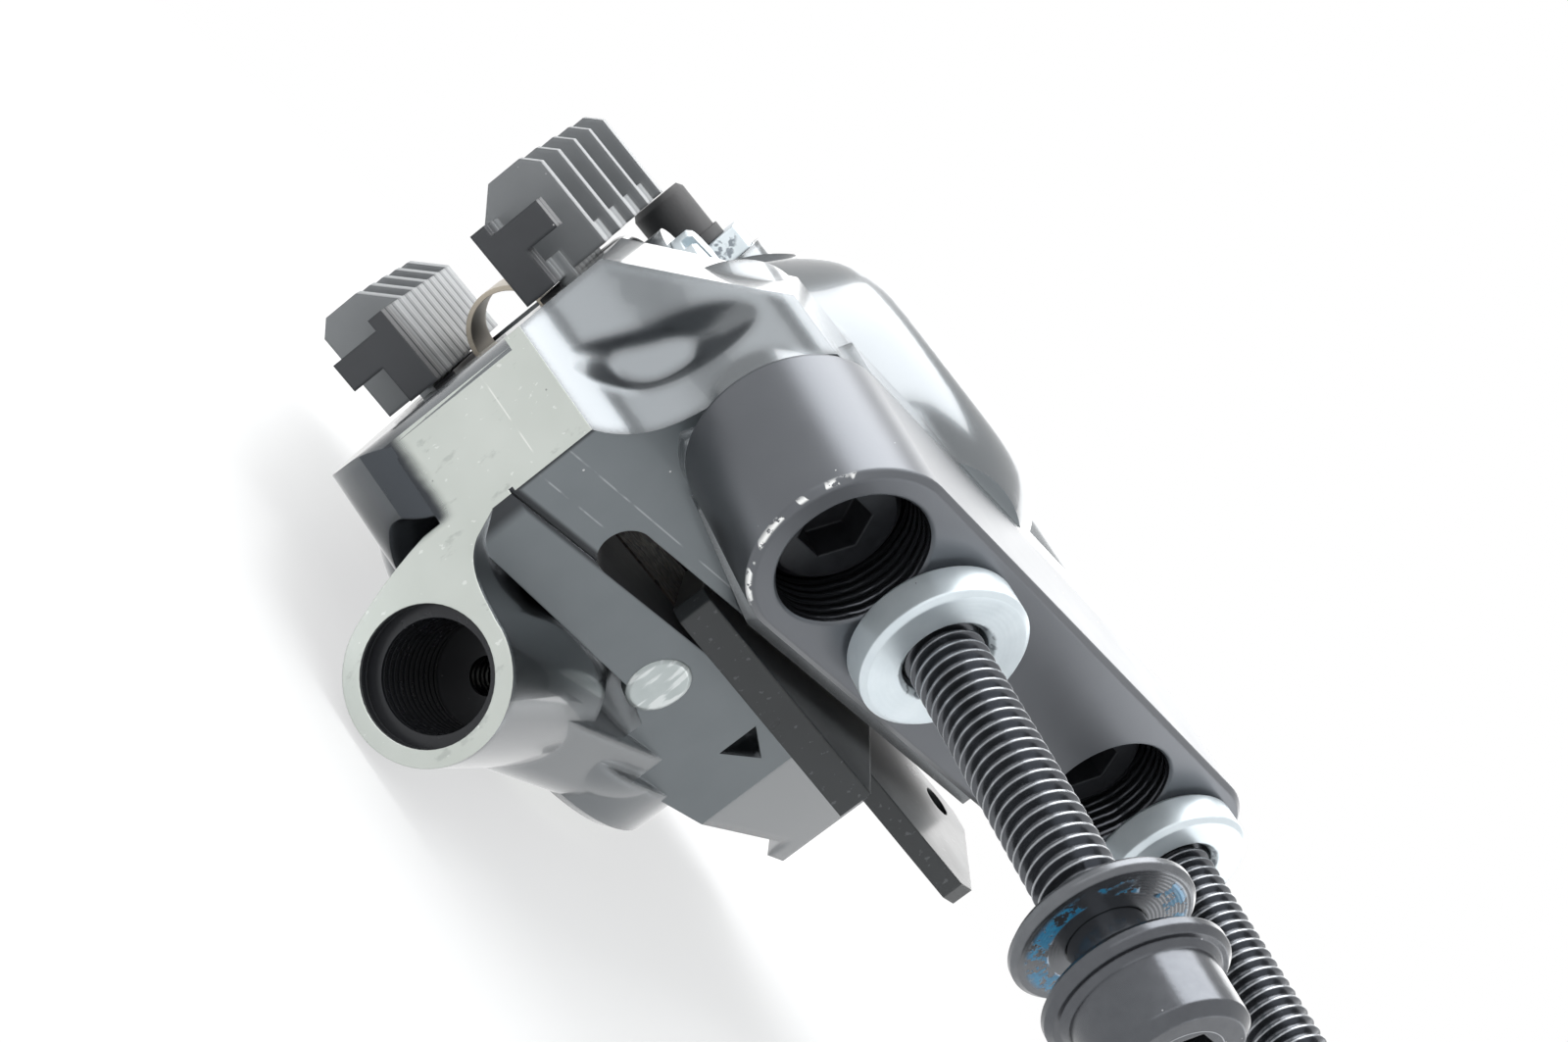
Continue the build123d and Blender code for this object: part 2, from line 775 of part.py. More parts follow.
def clip_groove():
    low, high = clip_heights()
    ring = round_z(axle_radius + overrun, low, high, axle_spot.X, axle_spot.Y)
    return ring - round_z(axle_radius - axle_groove_depth, low - overrun, high + overrun, axle_spot.X, axle_spot.Y)


def make_axle_clip():
    low, high = clip_heights()
    ring = round_z(clip_outer_radius, low, high, axle_spot.X, axle_spot.Y)
    ring -= round_z(axle_radius - axle_groove_depth, low - overrun, high + overrun, axle_spot.X, axle_spot.Y)
    return ring - span_box(
        (axle_spot.X - clip_gap, axle_spot.Y - 2 * clip_outer_radius, low - overrun),
        (axle_spot.X + clip_gap, axle_spot.Y, high + overrun))


def make_axle_recesses():
    """Room for the axle's head in the outboard housing and for its clip in the inboard one."""
    head = round_z(axle_head_radius + loose_clearance, axle_boss_z, outboard_face_z, axle_spot.X, axle_spot.Y)
    clip = round_z(clip_outer_radius + loose_clearance, cap_face_z, axle_inboard_boss_z, axle_spot.X, axle_spot.Y)
    return head + clip


# Bleed screw along the radius, and its rubber cap
bleed_frame = local_frame * Location((bleed_t, bleed_seat_r, bleed_z), (-quarter_turn, 0, 0))


def make_bleed_screw():
    hex_top = seat_gap + bleed_hex_height
    top = hex_top + bleed_nipple_height
    body = turned([
        (0, -bleed_thread_length), (bleed_thread_radius / 2, -bleed_thread_length),
        (bleed_thread_radius, -bleed_thread_length + bleed_thread_radius / 2), (bleed_thread_radius, seat_gap),
        (bleed_neck_radius, hex_top), (bleed_neck_radius, top - bleed_nipple_radius),
        (bleed_nipple_radius, top - bleed_nipple_radius / 2), (2 * bleed_bore_radius, top), (0, top)])
    body += Pos(0, 0, seat_gap) * hexagon_prism(bleed_hex_flats, bleed_hex_height)
    body -= round_z(bleed_bore_radius, -bleed_thread_length / 2, top + overrun)
    return bleed_frame * body


def make_bleed_cap():
    low = 2 * seat_gap + bleed_hex_height
    top = seat_gap + bleed_hex_height + bleed_nipple_height
    outer = bleed_nipple_radius + running_clearance + cap_wall
    inner = bleed_nipple_radius + running_clearance
    roof = top + running_clearance
    body = turned([
        (inner, low), (cap_lip_radius, low), (cap_lip_radius, low + cap_lip_height),
        (outer, low + cap_lip_height), (outer, roof + cap_end_thickness / 2),
        (outer - cap_wall / 2, roof + cap_end_thickness), (0, roof + cap_end_thickness), (0, roof), (inner, roof)])
    return bleed_frame * body


def make_plug_seat():
    return round_y(plug_radius, underside_y, underside_y + plug_depth, plug_x, plug_z)


def make_passage_plug():
    return make_plug_seat() + cone_y(plug_radius - 2 * plug_crown, plug_radius, underside_y - plug_crown, underside_y,
                                     plug_x, plug_z)


# Caliper body. The port frame lies in the machined near plane: its X follows the part's Z,
# its Y runs up the machined strip and its Z points out of the port
port_frame = Plane(origin=(port_x, port_y, port_z), x_dir=(0, 0, 1), z_dir=(-strip_cosine, -strip_sine, 0))
plane_distance = -(port_x * strip_cosine + port_y * strip_sine)
# The strip frame looks up the strip: its X follows the part's Z and its Y goes in behind the strip
strip_frame = Plane(origin=(port_x, port_y, 0), x_dir=(0, 0, 1), z_dir=(-strip_sine, strip_cosine, 0))
strip_low_x = -(plane_distance + underside_y * strip_sine) / strip_cosine


def near_point(depth, z, rise):
    """Point at a depth behind the machined plane, at a height Z and a rise along the strip."""
    return Vector(port_x + depth * strip_cosine - rise * strip_sine,
                  port_y + depth * strip_sine + rise * strip_cosine, z)


def beyond_near_plane():
    """Everything on the hose side of the machined near plane."""
    size = 2 * rotor_radius
    return port_frame.location * Pos(0, 0, size / 2) * Box(size, size, size)


def core_outline(near_radius, far_radius, shoulder_radius):
    raw_distance = plane_distance + machining_allowance
    both = math.radians(pad_angle + strip_angle)
    near_t = (face_r * math.cos(both) - raw_distance) / math.sin(both)
    return make_face(FilletPolyline(
        Vector(strip_low_x - machining_allowance / strip_cosine, underside_y), place(near_t, face_r),
        place(far_wall_t, face_r), place(far_wall_t, far_shoulder_r), Vector(foot_end_x, foot_end_y),
        Vector(foot_end_x, underside_y),
        radius=[0, near_radius, far_radius, shoulder_radius, 0, 0], close=True))


def make_corner_keeper():
    """Everything inside the large rounding between the machined strip and the inboard face."""
    size = 2 * rotor_radius
    profile = make_face(FilletPolyline(
        Vector(core_inboard_z, -machining_allowance), Vector(core_inboard_z, size), Vector(size, size),
        Vector(size, -machining_allowance), radius=[near_corner_radius, 0, 0, 0], close=True))
    return strip_frame.location * Pos(0, 0, -size) * extrude(profile, 2 * size)


def make_core():
    height = core_outboard_z - core_inboard_z
    core = Pos(0, 0, core_inboard_z) * extrude(
        core_outline(0, far_corner_radius, far_shoulder_radius), height, dir=(0, 0, 1))
    for face, radius in ((core.faces().sort_by(Axis.Z)[0], core_round),
                         (core.faces().sort_by(Axis.Z)[-1], core_outboard_round)):
        upper = [edge for edge in face.edges() if edge.center().Y > underside_y + seat_gap]
        core = fillet(upper, radius)
    core &= make_corner_keeper()
    core &= Pos(0, 0, core_inboard_z) * extrude(core_outline(near_top_radius, 0, 0), height, dir=(0, 0, 1))
    # the inboard half ends in a slope beyond the pads
    slope = slab([
        (far_relief_x, underside_y), (foot_end_x, underside_y + far_relief_height),
        (foot_end_x + overrun, underside_y + far_relief_height), (foot_end_x + overrun, underside_y - overrun),
        (far_relief_x, underside_y - overrun)], core_inboard_z - overrun, rotor_plane_z)
    # and rises outboard towards its far end
    rise = make_face(Polyline([Vector(t, 0, z) for t, z in (
        (far_slope_t, core_inboard_z), (far_wall_t, far_slope_z), (2 * far_wall_t, far_slope_z),
        (2 * far_wall_t, 2 * core_inboard_z), (far_slope_t, 2 * core_inboard_z))], close=True))
    return core - slope - local_frame * extrude(rise, face_r + overrun, dir=(0, 1, 0))


def make_lobe():
    """Bulge at the hose end that carries the near caliper bolt."""
    shoulder = [
        Vector(core_near_t, face_r, lobe_face_z), Vector(core_near_t, lobe_shoulder_r, lobe_shoulder_z),
        Vector(core_near_t, lobe_top_r, lobe_top_z)]
    outline = [
        Spline(*shoulder),
        Polyline(shoulder[2], Vector(core_near_t, lobe_base_r, lobe_top_z),
                 Vector(core_near_t, lobe_base_r, lobe_base_z), Vector(core_near_t, face_r, lobe_base_z),
                 shoulder[0])]
    lobe = extrude(make_face(outline), lobe_far_base_t - core_near_t, dir=(1, 0, 0))
    side_view = make_face(Polyline(
        Vector(core_near_t, 0, lobe_base_z), Vector(lobe_far_base_t, 0, lobe_base_z),
        Vector(lobe_far_base_t, 0, core_outboard_z), Vector(lobe_far_t, 0, lobe_top_z),
        Vector(core_near_t, 0, lobe_top_z), close=True))
    lobe &= extrude(side_view, 2 * face_r, dir=(0, 1, 0))
    return local_frame * lobe


def lobe_flank_cutter():
    """What lies in front of the near lobe's flank, outboard of the machined strip."""
    rise = underside_y - port_y - 2 * foot_end_radius
    far_depth = 2 * lobe_crown_depth
    flank = [(0, lobe_start_z), (lobe_slope_depth, lobe_slope_z), (lobe_flank_depth, lobe_flank_z),
             (lobe_crown_depth, lobe_crown_z)]
    corners = [(lobe_crown_depth, lobe_crown_z), (far_depth, 2 * lobe_crown_z), (far_depth, 3 * lobe_crown_z),
               (-far_depth, 3 * lobe_crown_z), (-far_depth, lobe_start_z), (0, lobe_start_z)]
    face = make_face([Spline(*[near_point(d, z, rise) for d, z in flank]),
                      Polyline(*[near_point(d, z, rise) for d, z in corners])])
    return extrude(face, face_r, dir=(-strip_sine, strip_cosine, 0))


def make_scoop():
    """Rounded three cornered hollow with sloping sides, cut along the flank's own tilt."""
    tilt = math.radians(scoop_tilt_angle)
    inwards = Vector(strip_cosine, strip_sine, 0)
    frame = Plane(origin=near_point(scoop_centre_depth, scoop_z, scoop_rise),
                  x_dir=inwards * math.sin(tilt) + Vector(0, 0, math.cos(tilt)),
                  z_dir=inwards * -math.cos(tilt) + Vector(0, 0, math.sin(tilt)))

    def level(share, height):
        points = [Vector(a * scoop_half_length * share, b * scoop_half_width * share, height)
                  for a, b in scoop_outline_shares]
        return make_face(Spline(*points, periodic=True))

    outer_share = 2 - scoop_floor_share
    return frame.location * loft([level(outer_share, scoop_depth), level(scoop_floor_share, -scoop_depth)])


def make_outboard_housing():
    curve = Spline(
        Vector(outboard_crown_radius, 0, outboard_face_z), Vector(outboard_shoulder_radius, 0, outboard_shoulder_z),
        Vector(outboard_wall_radius, 0, outboard_wall_z), tangents=((1, 0, 0), (0, 0, -1)))
    sides = Polyline(
        curve @ 1, Vector(outboard_wall_radius, 0, outboard_base_z), Vector(0, 0, outboard_base_z),
        Vector(0, 0, outboard_face_z), curve @ 0)
    return Pos(piston_x, piston_y, 0) * revolve(make_face([curve, sides]), Axis.Z, full_turn)


def make_inboard_housing():
    curve = Spline(
        Vector(inboard_wall_radius, 0, inboard_wall_z), Vector(inboard_shoulder_radius, 0, inboard_shoulder_z),
        Vector(inboard_floor_radius, 0, cap_face_z), tangents=((0, 0, -1), (-1, 0, 0)))
    sides = Polyline(
        curve @ 1, Vector(0, 0, cap_face_z), Vector(0, 0, inboard_start_z),
        Vector(inboard_wall_radius, 0, inboard_start_z), curve @ 0)
    spot = place(inboard_t, inboard_r)
    housing = Pos(spot.X, spot.Y, 0) * revolve(make_face([curve, sides]), Axis.Z, full_turn)
    boss = round_z(cap_boss_radius, cap_face_z, inboard_start_z, piston_x, piston_y)
    return housing + chamfer(boss.faces().sort_by(Axis.Z)[0].edges(), cap_boss_edge)


def make_foot():
    """Raised seat on the bracket, with the bosses of both caliper bolts."""
    radius = bracket_width / 2
    web_top = underside_y + foot_end_radius
    face = make_face(Polyline(
        Vector(foot_web_near_x, bracket_height, foot_web_near_z), Vector(foot_web_far_x, bracket_height, foot_web_far_z),
        Vector(foot_end_x, bracket_height, foot_web_far_z), Vector(foot_end_x, bracket_height, radius),
        Vector(caliper_x_near, bracket_height, radius), close=True))
    foot = extrude(face, web_top - bracket_height, dir=(0, 1, 0))
    foot &= round_y(radius, bracket_height, web_top, caliper_x_near) + span_box(
        (caliper_x_near, bracket_height, foot_web_far_z), (foot_end_x, web_top, radius))
    foot += round_y(near_boss_radius, bracket_height, near_boss_top_y - boss_crown, caliper_x_near)
    foot += cone_y(near_boss_radius, near_boss_radius - boss_crown, near_boss_top_y - boss_crown,
                   near_boss_top_y, caliper_x_near)
    foot += round_y(radius, bracket_height, far_boss_top_y - boss_crown, caliper_x_far)
    foot += cone_y(radius, radius - boss_crown, far_boss_top_y - boss_crown, far_boss_top_y, caliper_x_far)
    return foot


def make_valley():
    """Painted hollow between the port boss and the machined underside."""
    low_y = underside_y - port_boss_length
    face = make_face(Polyline(
        Vector(valley_near_x, low_y, valley_near_z), Vector(valley_far_x, low_y, valley_far_z),
        Vector(valley_end_x, low_y, valley_end_z), Vector(valley_inboard_x, low_y, valley_inboard_z),
        Vector(valley_near_x, low_y, valley_inboard_z), close=True))
    valley = extrude(face, valley_roof_y - low_y, dir=(0, 1, 0))
    valley = fillet(valley.faces().sort_by(Axis.Y)[-1].edges(), foot_end_radius / 2)
    return valley - round_z(bore_guard_radius, cap_face_z - overrun, rotor_plane_z, piston_x, piston_y)


def make_valley_wall():
    """Smooth inboard wall that closes the valley between the port boss and the inboard housing."""
    spot = place(inboard_t, inboard_r)
    wall = slab([
        (wall_near_x, wall_near_y), (wall_far_x, wall_far_y), (spot.X + inboard_floor_radius, spot.Y),
        (spot.X, spot.Y + inboard_floor_radius), (wall_back_x, wall_back_y), (wall_top_x, wall_top_y)],
        wall_low_z, wall_rim_z)
    return fillet(wall.faces().sort_by(Axis.Z)[0].edges(), wall_round)


def make_port_boss():
    length = port_boss_length + machining_allowance
    cone = Cone(port_boss_end_radius, port_outer_radius, length, align=(Align.CENTER, Align.CENTER, Align.MIN))
    boss = Pos(0, 0, -port_boss_length) * cone
    near_rise = math.sqrt(port_outer_radius ** 2 - neck_near_side ** 2)
    upper = Spline(Vector(neck_near_side, near_rise), Vector(neck_top_side, neck_top_rise),
                   Vector(neck_shoulder_side, neck_shoulder_rise))
    side = Polyline(upper @ 1, Vector(strip_edge_side, neck_shoulder_rise), Vector(strip_edge_side, strip_edge_rise),
                    Vector(neck_end_side, strip_edge_rise), Vector(neck_end_side, neck_end_rise),
                    Vector(neck_heel_side, neck_heel_rise))
    lower = Spline(side @ 1, Vector(neck_bend_side, neck_bend_rise), Vector(neck_waist_side, neck_waist_rise),
                   Vector(port_outer_radius, 0))
    base = Polyline(lower @ 1, Vector(0, 0), upper @ 0)
    neck = Pos(0, 0, -neck_depth) * extrude(make_face([upper, side, lower, base]), neck_depth + machining_allowance)
    return port_frame.location * (boss + neck)


def make_port_bore():
    start = port_counterbore_depth
    end = port_thread_length
    bore = round_z(port_counterbore_radius, -start, machining_allowance + overrun)
    bore += round_z(port_thread_radius, -end, 0)
    bore += round_z(port_drill_radius, -end - port_drill_length, 0)
    return port_frame.location * bore


def make_rotor_slot():
    """Disc shaped slot with a round rim for the rotor."""
    rim = rotor_slot_width / 2
    reach = rotor_radius + rotor_rim_clearance - rim
    disc = round_z(reach, rotor_plane_z - rim, rotor_plane_z + rim, piston_t, hub_r)
    return local_frame * (disc + Pos(piston_t, hub_r, rotor_plane_z) * Torus(reach, rim))


def make_pad_pocket():
    """Window for both pads, with room for their heat sinks near the outer face."""
    half = lining_width / 2 + plate_margin + pad_gap
    low = piston_r - lining_height / 2 - plate_margin - pad_gap
    top = face_r + 2 * core_round
    t_low, t_high = piston_t - half, piston_t + half
    pocket = slab([
        (t_low, top), (t_low, low + pad_corner_height), (t_low + pad_corner_width, low),
        (t_high - pad_corner_width, low), (t_high, low + pad_corner_height), (t_high, top)],
        rotor_plane_z - pocket_offset, rotor_plane_z + pocket_offset)
    relief = tongue_width / 2 + pad_gap
    pocket += span_box((piston_t - relief, tongue_bottom_r - pad_gap, rotor_plane_z - relief_offset),
                       (piston_t + relief, top, rotor_plane_z + relief_offset))
    return local_frame * pocket


def make_pocket_notch():
    """Three cornered cut where the inboard end of the pocket breaks through the underside."""
    face = make_face(Polyline([Vector(x, underside_y - overrun, z) for x, z in (
        (notch_near_x, notch_outboard_z), (notch_near_x, notch_inboard_z),
        (notch_far_x, (notch_outboard_z + notch_inboard_z) / 2))], close=True))
    return extrude(face, overrun + notch_height, dir=(0, 1, 0))


def make_piston_bores():
    far = piston_far_offset + bore_floor_gap
    cap_bore = rotor_plane_z - cap_face_z
    shape = offset_round(1, bore_radius, piston_t, piston_r, 0, far)
    shape += offset_round(-1, bore_radius, piston_t, piston_r, 0, cap_bore)
    shape += offset_round(-1, cap_radius, piston_t, piston_r, rotor_plane_z - cap_inner_z, cap_bore + overrun)
    shape += offset_round(-1, cap_flange_radius, piston_t, piston_r,
                          cap_bore - cap_flange_thickness, cap_bore + overrun)
    for side in (-1, 1):
        shape += offset_round(side, seal_groove_radius, piston_t, piston_r,
                              seal_near_offset, seal_near_offset + seal_width)
    return local_frame * shape


def make_body():
    body = make_core() + make_outboard_housing() + make_lobe()
    body = body - lobe_flank_cutter() - make_scoop()
    body += make_inboard_housing()
    body -= make_valley()
    far_y = 2 * face_r
    wide = 2 * rotor_radius
    below = span_box((-wide, -wide, valley_inboard_z + overrun), (wide, underside_y, wide))
    body -= below
    body += make_valley_wall()
    body += make_foot()
    body += make_port_boss()
    body += local_frame * round_z(axle_boss_radius, core_inboard_z, axle_boss_z, piston_t, axle_r)
    body += local_frame * round_z(axle_boss_radius, axle_inboard_boss_z, core_inboard_z + overrun, piston_t, axle_r)
    body += bleed_frame * round_z(bleed_boss_radius, bleed_boss_bottom_r - bleed_seat_r, 0)
    body -= beyond_near_plane()
    body -= bleed_frame * round_z(bleed_boss_radius, 0, far_y)
    body -= bleed_frame * round_z(bleed_thread_radius + running_clearance, -bleed_thread_length - running_clearance, overrun)
    body -= bleed_frame * round_z(bleed_bore_radius, -3 * bleed_thread_length, 0)
    body -= make_port_bore()
    body -= make_rotor_slot()
    body -= make_pad_pocket()
    body -= make_pocket_notch()
    body -= make_piston_bores()
    body -= round_z(axle_radius + running_clearance, axle_end_z - overrun, axle_boss_z + overrun,
                    axle_spot.X, axle_spot.Y)
    body -= make_axle_recesses()
    for x in (caliper_x_near, caliper_x_far):
        body -= round_y(caliper_bolt_diameter / 2 + running_clearance, 0,
                        bracket_height + caliper_bolt_reach + loose_clearance, x)
    body -= make_plug_seat()
    body -= span_box((strip_low_x - overrun, underside_y - overrun, groove_z - groove_width / 2),
                     (groove_end_x, underside_y + groove_depth, groove_z + groove_width / 2))
    return body


# Write every piece
save(make_body(), "caliper_body")
save(make_bracket(), "mount_bracket")
save(Compound(children=[make_caliper_bolt(x) for x in (caliper_x_near, caliper_x_far)]), "caliper_bolts")
for name, x in (("near", bolt_x_near), ("far", bolt_x_far)):
    save(make_frame_bolt(x), name + "_frame_bolt")
    save(make_head_washer(x), name + "_head_washer")
    save(make_spacer_ring(x), name + "_spacer_ring")
for name, side in (("outboard", 1), ("inboard", -1)):
    save(make_piston(side), name + "_piston")
    save(make_piston_seal(side), name + "_piston_seal")
    save(make_plate(side), name + "_backplate")
    save(make_lining(side), name + "_lining")
    save(make_heat_sink(side), name + "_heat_sink")
    save(Compound(children=[make_rivet(side, t, r) for t, r in rivet_places()]), name + "_sink_rivets")
save(make_return_spring(), "pad_return_spring")
save(make_pad_spacer(), "transport_spacer")
save(make_bore_cap(), "bore_cap")
save(make_cap_seal(), "bore_cap_seal")
save(make_axle(), "pad_axle")
save(make_axle_clip(), "axle_clip")
save(make_bleed_screw(), "bleed_screw")
save(make_bleed_cap(), "bleed_cap")
save(make_passage_plug(), "passage_plug")
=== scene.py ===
import math

import bpy
from mathutils import Matrix, Vector

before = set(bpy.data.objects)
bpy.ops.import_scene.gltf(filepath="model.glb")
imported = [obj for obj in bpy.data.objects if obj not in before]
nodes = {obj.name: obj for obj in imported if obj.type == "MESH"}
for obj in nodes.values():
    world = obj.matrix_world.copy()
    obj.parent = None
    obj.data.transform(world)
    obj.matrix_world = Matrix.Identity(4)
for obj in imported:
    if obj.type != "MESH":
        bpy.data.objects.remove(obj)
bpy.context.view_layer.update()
MM = 0.001

# Camera fitted to the photograph
CAMERA_PLACE = (-0.120328, -0.084807, 0.019888)
CAMERA_RIGHT = (0.51876, -0.34709, 0.78129)
CAMERA_UP = (-0.47491, 0.6429, 0.60095)
CAMERA_LENS = 52.18
SENSOR_WIDTH = 36.0

# Places taken from the solids, in millimetres
BOLT_X = 17.0
THREAD_RADIUS = 2.5
WASHER_STEP_Y = -23.5
RING_HOLE_RADIUS = 2.9
BRACKET_X = (-25.9, 8.1)
BRACKET_RADIUS = 6.45
COUNTERBORE_RADIUS = 4.7
COUNTERBORE_RIPPLE = 0.62
CHIPS_END_X = -27.2
CHIPS_END_Z = 4.4
UNDERSIDE_Y = 12.28
PORT = (-32.15, 7.58, -24.43)
PORT_RADIUS = 4.4
PORT_THREAD_PITCH = 0.75
STRIP_ANGLE = math.radians(32.0)
STRIP_NORMAL = Vector((-math.cos(STRIP_ANGLE), -math.sin(STRIP_ANGLE), 0))
STRIP_SIDE = Vector((-math.sin(STRIP_ANGLE), math.cos(STRIP_ANGLE), 0))
STRIP_DISTANCE = Vector(PORT).dot(STRIP_NORMAL)
STRIP_NECK_SIDE = 30.2
STRIP_END_Z = -18.0
STRIP_SEAMS = (-11.45,)
UNDERSIDE_SEAMS = (-9.65, -11.95)
GROOVE_Z = -13.8
SLOT_Z = -12.36
SLOT_HALF_WIDTH = 1.8
PAD_ALONG = (0.60182, 0.79864, 0.0)
SINK_GROOVE = 2.1
HOOKS_END = 2.5
FINS_START = 5.5
SAME_PLACE = 0.02

# Surroundings, in millimetres; the dark corner is measured from the floor's centre
FLOOR_CENTRE = (-8.0, 12.0, -30.4)
FLOOR_REACH = 3000.0
DARK_CORNER = (-34.0, 9.0, 0.0)
LAMPS_FACE = (-8.0, 12.0, -8.0)


# Node helpers
class Shader:
    """A material's node tree with short ways to add nodes to it, all lengths in millimetres."""

    def __init__(self, name):
        self.material = bpy.data.materials.new(name)
        self.material.use_nodes = True
        self.tree = self.material.node_tree
        self.principled = self.tree.nodes["Principled BSDF"]
        self.position = self.node("ShaderNodeTexCoord").outputs["Object"]
        in_mm = self.node("ShaderNodeVectorMath", operation="SCALE")
        self.feed(in_mm.inputs[0], self.position)
        in_mm.inputs["Scale"].default_value = 1 / MM
        self.place = in_mm.outputs["Vector"]
        split = self.node("ShaderNodeSeparateXYZ")
        self.feed(split.inputs[0], self.place)
        self.x, self.y, self.z = split.outputs

    def node(self, kind, **settings):
        made = self.tree.nodes.new(kind)
        for key, value in settings.items():
            setattr(made, key, value)
        return made

    def feed(self, socket, value):
        if isinstance(value, bpy.types.NodeSocket):
            self.tree.links.new(value, socket)
        else:
            socket.default_value = value

    def math(self, operation, a, b=0.0):
        made = self.node("ShaderNodeMath", operation=operation)
        self.feed(made.inputs[0], a)
        self.feed(made.inputs[1], b)
        return made.outputs[0]

    def product(self, first, *others):
        for other in others:
            first = self.math("MULTIPLY", first, other)
        return first

    def inverse(self, value):
        return self.math("SUBTRACT", 1.0, value)

    def wave(self, value, length, shift=0.0):
        """Sine wave that repeats each time the value grows by the length."""
        turns = self.math("MULTIPLY", value, 2 * math.pi / length)
        return self.math("SINE", self.math("ADD", turns, shift))

    def ramp(self, value, low, high):
        """0 below low, 1 above high, smooth between."""
        made = self.node("ShaderNodeMapRange", interpolation_type="SMOOTHSTEP")
        self.feed(made.inputs["Value"], value)
        made.inputs["From Min"].default_value = low
        made.inputs["From Max"].default_value = high
        return made.outputs["Result"]

    def fall(self, value, low, high):
        """1 below low, 0 above high, smooth between."""
        return self.inverse(self.ramp(value, low, high))

    def scaled(self, value, low, high):
        """Stretches a 0 to 1 value between two others."""
        made = self.node("ShaderNodeMapRange")
        self.feed(made.inputs["Value"], value)
        made.inputs["To Min"].default_value = low
        made.inputs["To Max"].default_value = high
        return made.outputs["Result"]

    def noise(self, size, detail=3.0, stretch=(1, 1, 1), rough=0.5):
        mapping = self.node("ShaderNodeMapping")
        self.feed(mapping.inputs["Vector"], self.position)
        mapping.inputs["Scale"].default_value = stretch
        made = self.node("ShaderNodeTexNoise")
        self.feed(made.inputs["Vector"], mapping.outputs[0])
        made.inputs["Scale"].default_value = 1 / (size * MM)
        made.inputs["Detail"].default_value = detail
        made.inputs["Roughness"].default_value = rough
        return made.outputs[0]

    def specks(self, size, share):
        """1 on small scattered grains."""
        made = self.node("ShaderNodeTexVoronoi")
        self.feed(made.inputs["Vector"], self.position)
        made.inputs["Scale"].default_value = 1 / (size * MM)
        spots = self.math("LESS_THAN", made.outputs["Distance"], share)
        chosen = self.node("ShaderNodeSeparateColor")
        self.feed(chosen.inputs[0], made.outputs["Color"])
        return self.math("MULTIPLY", spots, self.math("GREATER_THAN", chosen.outputs[0], 0.8))

    def measure(self, operation, other):
        """Distance from a point, or dot product with a direction."""
        made = self.node("ShaderNodeVectorMath", operation=operation)
        self.feed(made.inputs[0], self.place)
        made.inputs[1].default_value = other
        return made.outputs["Value"]

    def along(self, direction):
        return self.measure("DOT_PRODUCT", direction)

    def behind_strip(self):
        """Depth behind the plane of the bare strip."""
        return self.math("SUBTRACT", STRIP_DISTANCE, self.along(STRIP_NORMAL))

    def distance_from_axis(self, x):
        """Distance from a line along Y at z = 0."""
        across = self.math("SUBTRACT", self.x, x)
        squared = self.math("ADD", self.product(across, across), self.product(self.z, self.z))
        return self.math("SQRT", squared)

    def distance_from_bolts(self):
        """Distance from the nearer of the two frame bolts' axes."""
        return self.math("MINIMUM", self.distance_from_axis(-BOLT_X), self.distance_from_axis(BOLT_X))

    def mix(self, factor, a, b):
        made = self.node("ShaderNodeMix", data_type="RGBA")
        self.feed(made.inputs[0], factor)
        self.feed(made.inputs[6], a)
        self.feed(made.inputs[7], b)
        return made.outputs[2]

    def tint(self, color, other, mask, strength=1.0):
        """Lays another colour over the first one where the mask is above 0."""
        return self.mix(self.math("MULTIPLY", mask, strength), color, other)

    def bump(self, height, strength, depth, normal=None):
        made = self.node("ShaderNodeBump")
        made.inputs["Strength"].default_value = strength
        made.inputs["Distance"].default_value = depth * MM
        self.feed(made.inputs["Height"], height)
        if normal is not None:
            self.feed(made.inputs["Normal"], normal)
        return made.outputs[0]

    def soft_edges(self, radius):
        made = self.node("ShaderNodeBevel", samples=4)
        made.inputs["Radius"].default_value = radius * MM
        return made.outputs[0]

    def finish(self, color, roughness, metallic=0.0, normal=None, **sockets):
        self.feed(self.principled.inputs["Base Color"], color)
        self.feed(self.principled.inputs["Roughness"], roughness)
        self.feed(self.principled.inputs["Metallic"], metallic)
        if normal is not None:
            self.feed(self.principled.inputs["Normal"], normal)
        for key, value in sockets.items():
            self.principled.inputs[key.replace("_", " ")].default_value = value
        return self.material


def rgb(r, g, b):
    return (r, g, b, 1.0)


# Materials
def body_paint():
    """Polished black finish of the cast body: mirror-like, with dust, and with a painted dark reflection
    that darkens its low near corner.
    """
    s = Shader("body_paint")
    cloud = s.noise(9.0, 2.0)
    peel = s.noise(0.9, 2.0)
    dust = s.specks(1.9, 0.04)
    color = s.mix(cloud, rgb(0.145, 0.158, 0.168), rgb(0.165, 0.178, 0.188))
    # Painted dark reflection: the low near corner of the body is tinted almost black
    low = s.fall(s.z, STRIP_END_Z - 0.5, STRIP_END_Z + 2.0)
    outer = s.ramp(s.along(STRIP_SIDE), STRIP_NECK_SIDE - 6.2, STRIP_NECK_SIDE - 3.2)
    front = s.fall(s.behind_strip(), 8.0, 14.0)
    color = s.tint(color, rgb(0.03, 0.034, 0.04), s.product(low, outer, front), 0.75)
    color = s.tint(color, rgb(0.8, 0.8, 0.78), dust)
    rough = s.math("ADD", s.scaled(cloud, 0.17, 0.24), s.math("MULTIPLY", dust, 0.4))
    normal = s.bump(peel, 0.012, 0.05, s.soft_edges(1.0))
    return s.finish(color, rough, 0.85, normal, Coat_Weight=0.6, Coat_Roughness=0.04)


